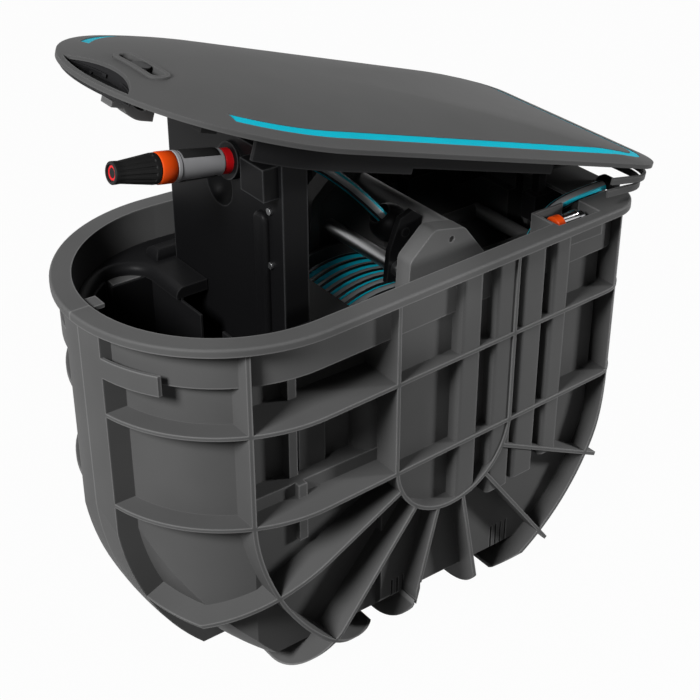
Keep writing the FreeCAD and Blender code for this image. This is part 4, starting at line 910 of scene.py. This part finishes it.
@dataclass
class TapCoupling:
    """Hose coupling that lies in the rear pocket.

    Attributes:
        start: Rear end of the coupling's axis in millimetres.
        ring: Radius of the orange collar.
        bore: Radius of the collar's bore.
        barrel: Radius of the plated barrel.
        flutes: Grip flutes around the barrel.
    """

    start: Point = (172.0, -145.0, 496.0)
    ring: float = 13.6
    bore: float = 6.0
    barrel: float = 11.6
    flutes: Flutes = Flutes(count=12, depth=0.1)

    def place(self) -> Matrix:
        """Where the coupling's own frame lies, with its axis along X.

        Returns:
            Its matrix in the object's frame.
        """
        return Matrix.Translation(Vector(self.start) * MM) @ Matrix.Rotation(math.pi, 4, "Z")

    def collar(self) -> bpy.types.Object:
        """Turn the orange collar.

        Returns:
            The collar piece.
        """
        full, bore = self.ring, self.bore
        profile = ((4, bore), (4, full - 1), (5, full), (15, full), (16, full - 1), (16, bore), (4, bore))
        return mesh_piece("tap_collar_turned", turned(profile), self.place(), sharp=40)

    def body(self) -> bpy.types.Object:
        """Turn the plated barrel and press grip flutes into it.

        Returns:
            The barrel piece.
        """
        full = self.barrel
        profile = ((0, 0), (0, 7), (1, 8), (17, 8), (17, full - 1), (18.5, full), (26, full), (34, full),
                   (42, full), (44, full - 1.5), (44, full - 2.5), (52, full - 2.5), (54, full - 4), (54, 0))
        shape = turned(profile, self.flutes.steps())
        self.flutes.press(shape, 18, 42.5)
        return mesh_piece("tap_coupling_fluted", shape, self.place(), sharp=30)

    def build(self, finishes: Finishes) -> None:
        """Build and dress the collar and the barrel.

        Args:
            finishes: Materials to take from.
        """
        dress(self.collar(), finishes.of(ORANGE_PLASTIC), Body.TUB, ("tap_ring",))
        dress(self.body(), finishes.of(SILVER), Body.TUB, ("tap_connector",))


@dataclass(frozen=True)
class SquareLamp:
    """Square studio lamp.

    Attributes:
        name: Name of the lamp.
        spot: Place of the lamp in metres.
        power: Power in watts.
        wide: Width of the lamp in metres.
        target: Point that it is aimed at.
    """

    name: str
    spot: Point
    power: float
    wide: float
    target: Point = (0.0, 0.0, 0.35)

    def light(self) -> bpy.types.Light:
        """Make the lamp's light.

        Returns:
            The light's data.
        """
        data = bpy.data.lights.new(self.name, "AREA")
        data.energy = self.power
        data.size = self.wide
        return data


@dataclass(frozen=True)
class Snoot:
    """Studio lamp with a narrow soft cone.

    Attributes:
        name: Name of the lamp.
        spot: Place of the lamp in metres.
        power: Power in watts.
        cone: Full angle of the cone in degrees.
        target: Point that it is aimed at.
        radius: Radius of the lamp in metres.
    """

    name: str
    spot: Point
    power: float
    cone: float
    target: Point
    radius: float = 0.02

    def light(self) -> bpy.types.Light:
        """Make the lamp's light.

        Returns:
            The light's data.
        """
        data = bpy.data.lights.new(self.name, "SPOT")
        data.energy = self.power
        data.spot_size = math.radians(self.cone)
        data.spot_blend = 1.0
        data.shadow_soft_size = self.radius
        return data


LAMPS = (
    SquareLamp("key_lamp", (-2.5, -0.75, 2.2), power=112.0, wide=0.8),
    SquareLamp("side_lamp", (2.6, -1.6, 1.0), power=80.0, wide=0.4),
    SquareLamp("top_lamp", (0.9, 0.6, 2.2), power=8.0, wide=1.0),
    Snoot("reel_lamp", (-1.07, -1.40, 1.39), power=60.0, cone=6.0, target=(0.03, -0.06, 0.43)),
)


@dataclass
class Studio:
    """White studio seen from the height of a standing person.

    Attributes:
        eye: Place of the camera in metres.
        ahead: Direction that the camera looks in.
        lens: Focal length in millimetres.
        sensor: Width of the camera's sensor in millimetres.
        fill: Strength of the even light.
        floor_half: Half of the floor's width in metres.
        floor_drop: Depth of the floor under the object in metres.
        floor_shade: Share of the light that the floor throws back.
        floor_glow: Share of plain white in the floor that is seen; the rest keeps the shadow.
    """

    eye: Point = (-1.021, -1.338, 1.341)
    ahead: Point = (0.5098, 0.6846, -0.521)
    lens: float = 78.55
    sensor: float = 36.0
    fill: float = 0.03
    floor_half: float = 30.0
    floor_drop: float = 0.0005
    floor_shade: float = 0.15
    floor_glow: float = 0.975

    def camera(self) -> None:
        """Set up the camera."""
        data = bpy.data.cameras.new("camera")
        data.lens = self.lens
        data.sensor_width = self.sensor
        data.clip_end = 100.0
        data.dof.use_dof = False
        obj = bpy.data.objects.new("camera", data)
        ahead = Vector(self.ahead).normalized()
        right = ahead.cross(Vector((0, 0, 1))).normalized()
        turn = Matrix((right, right.cross(ahead), -ahead)).transposed().to_4x4()
        obj.matrix_world = Matrix.Translation(Vector(self.eye)) @ turn
        bpy.context.scene.collection.objects.link(obj)
        bpy.context.scene.camera = obj

    def hang(self, lamp: SquareLamp | Snoot) -> None:
        """Hang a lamp and aim it.

        Args:
            lamp: Lamp to hang.
        """
        obj = bpy.data.objects.new(lamp.name, lamp.light())
        aim = Vector(lamp.target) - Vector(lamp.spot)
        turn = aim.to_track_quat("-Z", "Y").to_matrix().to_4x4()
        obj.matrix_world = Matrix.Translation(Vector(lamp.spot)) @ turn
        bpy.context.scene.collection.objects.link(obj)

    def seen(self, tree: bpy.types.NodeTree) -> bpy.types.NodeSocket:
        """Say whether a ray comes from the camera, from a reflection or through a clear piece.

        Args:
            tree: Node tree that the nodes go into.

        Returns:
            One for such rays, and zero for the rest.
        """
        path = add_node(tree, "LightPath")
        through = add_node(tree, "Math", {0: path.outputs["Is Camera Ray"],
                                          1: path.outputs["Is Transmission Ray"]}, operation="MAXIMUM")
        either = add_node(tree, "Math", {0: through.outputs["Value"], 1: path.outputs["Is Glossy Ray"]},
                          operation="MAXIMUM")
        return either.outputs["Value"]

    def world(self) -> None:
        """Light the room evenly in front of a white backdrop."""
        world = bpy.data.worlds.new("white_room")
        world.use_nodes = True
        tree = world.node_tree
        tree.nodes.clear()
        strength = add_node(tree, "MapRange", {"Value": self.seen(tree), "To Min": self.fill, "To Max": 1.0})
        room = add_node(tree, "Background", {"Color": (1.0, 1.0, 1.0, 1.0),
                                             "Strength": strength.outputs["Result"]})
        add_node(tree, "OutputWorld", {"Surface": room.outputs["Background"]})
        bpy.context.scene.world = world

    def floor(self) -> None:
        """Lay a white floor that keeps a faint shadow of the object."""
        material, tree = blank_material("white_studio_floor")
        shade = self.floor_shade
        paper = add_node(tree, "BsdfDiffuse", {"Color": (shade, shade, shade, 1.0)})
        glow = add_node(tree, "Emission", {"Color": (1.0, 1.0, 1.0, 1.0), "Strength": 1.0})
        share = add_node(tree, "Math", {0: self.seen(tree), 1: self.floor_glow}, operation="MULTIPLY")
        mixed = add_node(tree, "MixShader", {0: share.outputs["Value"], 1: paper.outputs["BSDF"],
                                             2: glow.outputs["Emission"]})
        add_node(tree, "OutputMaterial", {"Surface": mixed.outputs["Shader"]})
        shape = bmesh.new()
        bmesh.ops.create_grid(shape, x_segments=1, y_segments=1, size=self.floor_half)
        floor = mesh_piece("studio_floor", shape, Matrix.Translation((0.0, 0.0, -self.floor_drop)))
        floor.data.materials.append(material)

    def build(self) -> None:
        """Set up the camera, the lamps, the room and the floor."""
        self.camera()
        for lamp in LAMPS:
            self.hang(lamp)
        self.world()
        self.floor()
        bpy.context.scene.view_settings.view_transform = "Standard"


def dress_nodes(finishes: Finishes) -> None:
    """Give each CAD node that stays in view its finish.

    Args:
        finishes: Materials to take from.
    """
    for name, finish in NODE_FINISHES.items():
        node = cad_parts[name]
        node.data.materials.clear()
        node.data.materials.append(finishes.of(finish))
        LOG.info("%s is %s", name, finish.name)


def main() -> None:
    """Build and dress the hose box in its studio."""
    logging.basicConfig(level=logging.INFO)
    finishes = Finishes()
    for run in (LEAD, SUPPLY, WOUND.run(), PACKED.run()):
        run.build(finishes.of(HOSE_RUBBER))
    dress_nodes(finishes)
    Nozzle().build(finishes)
    PanelBead().build(finishes)
    GripCup().build(finishes)
    TapCoupling().build(finishes)
    Studio().build()


if __name__ == "__main__":
    main()
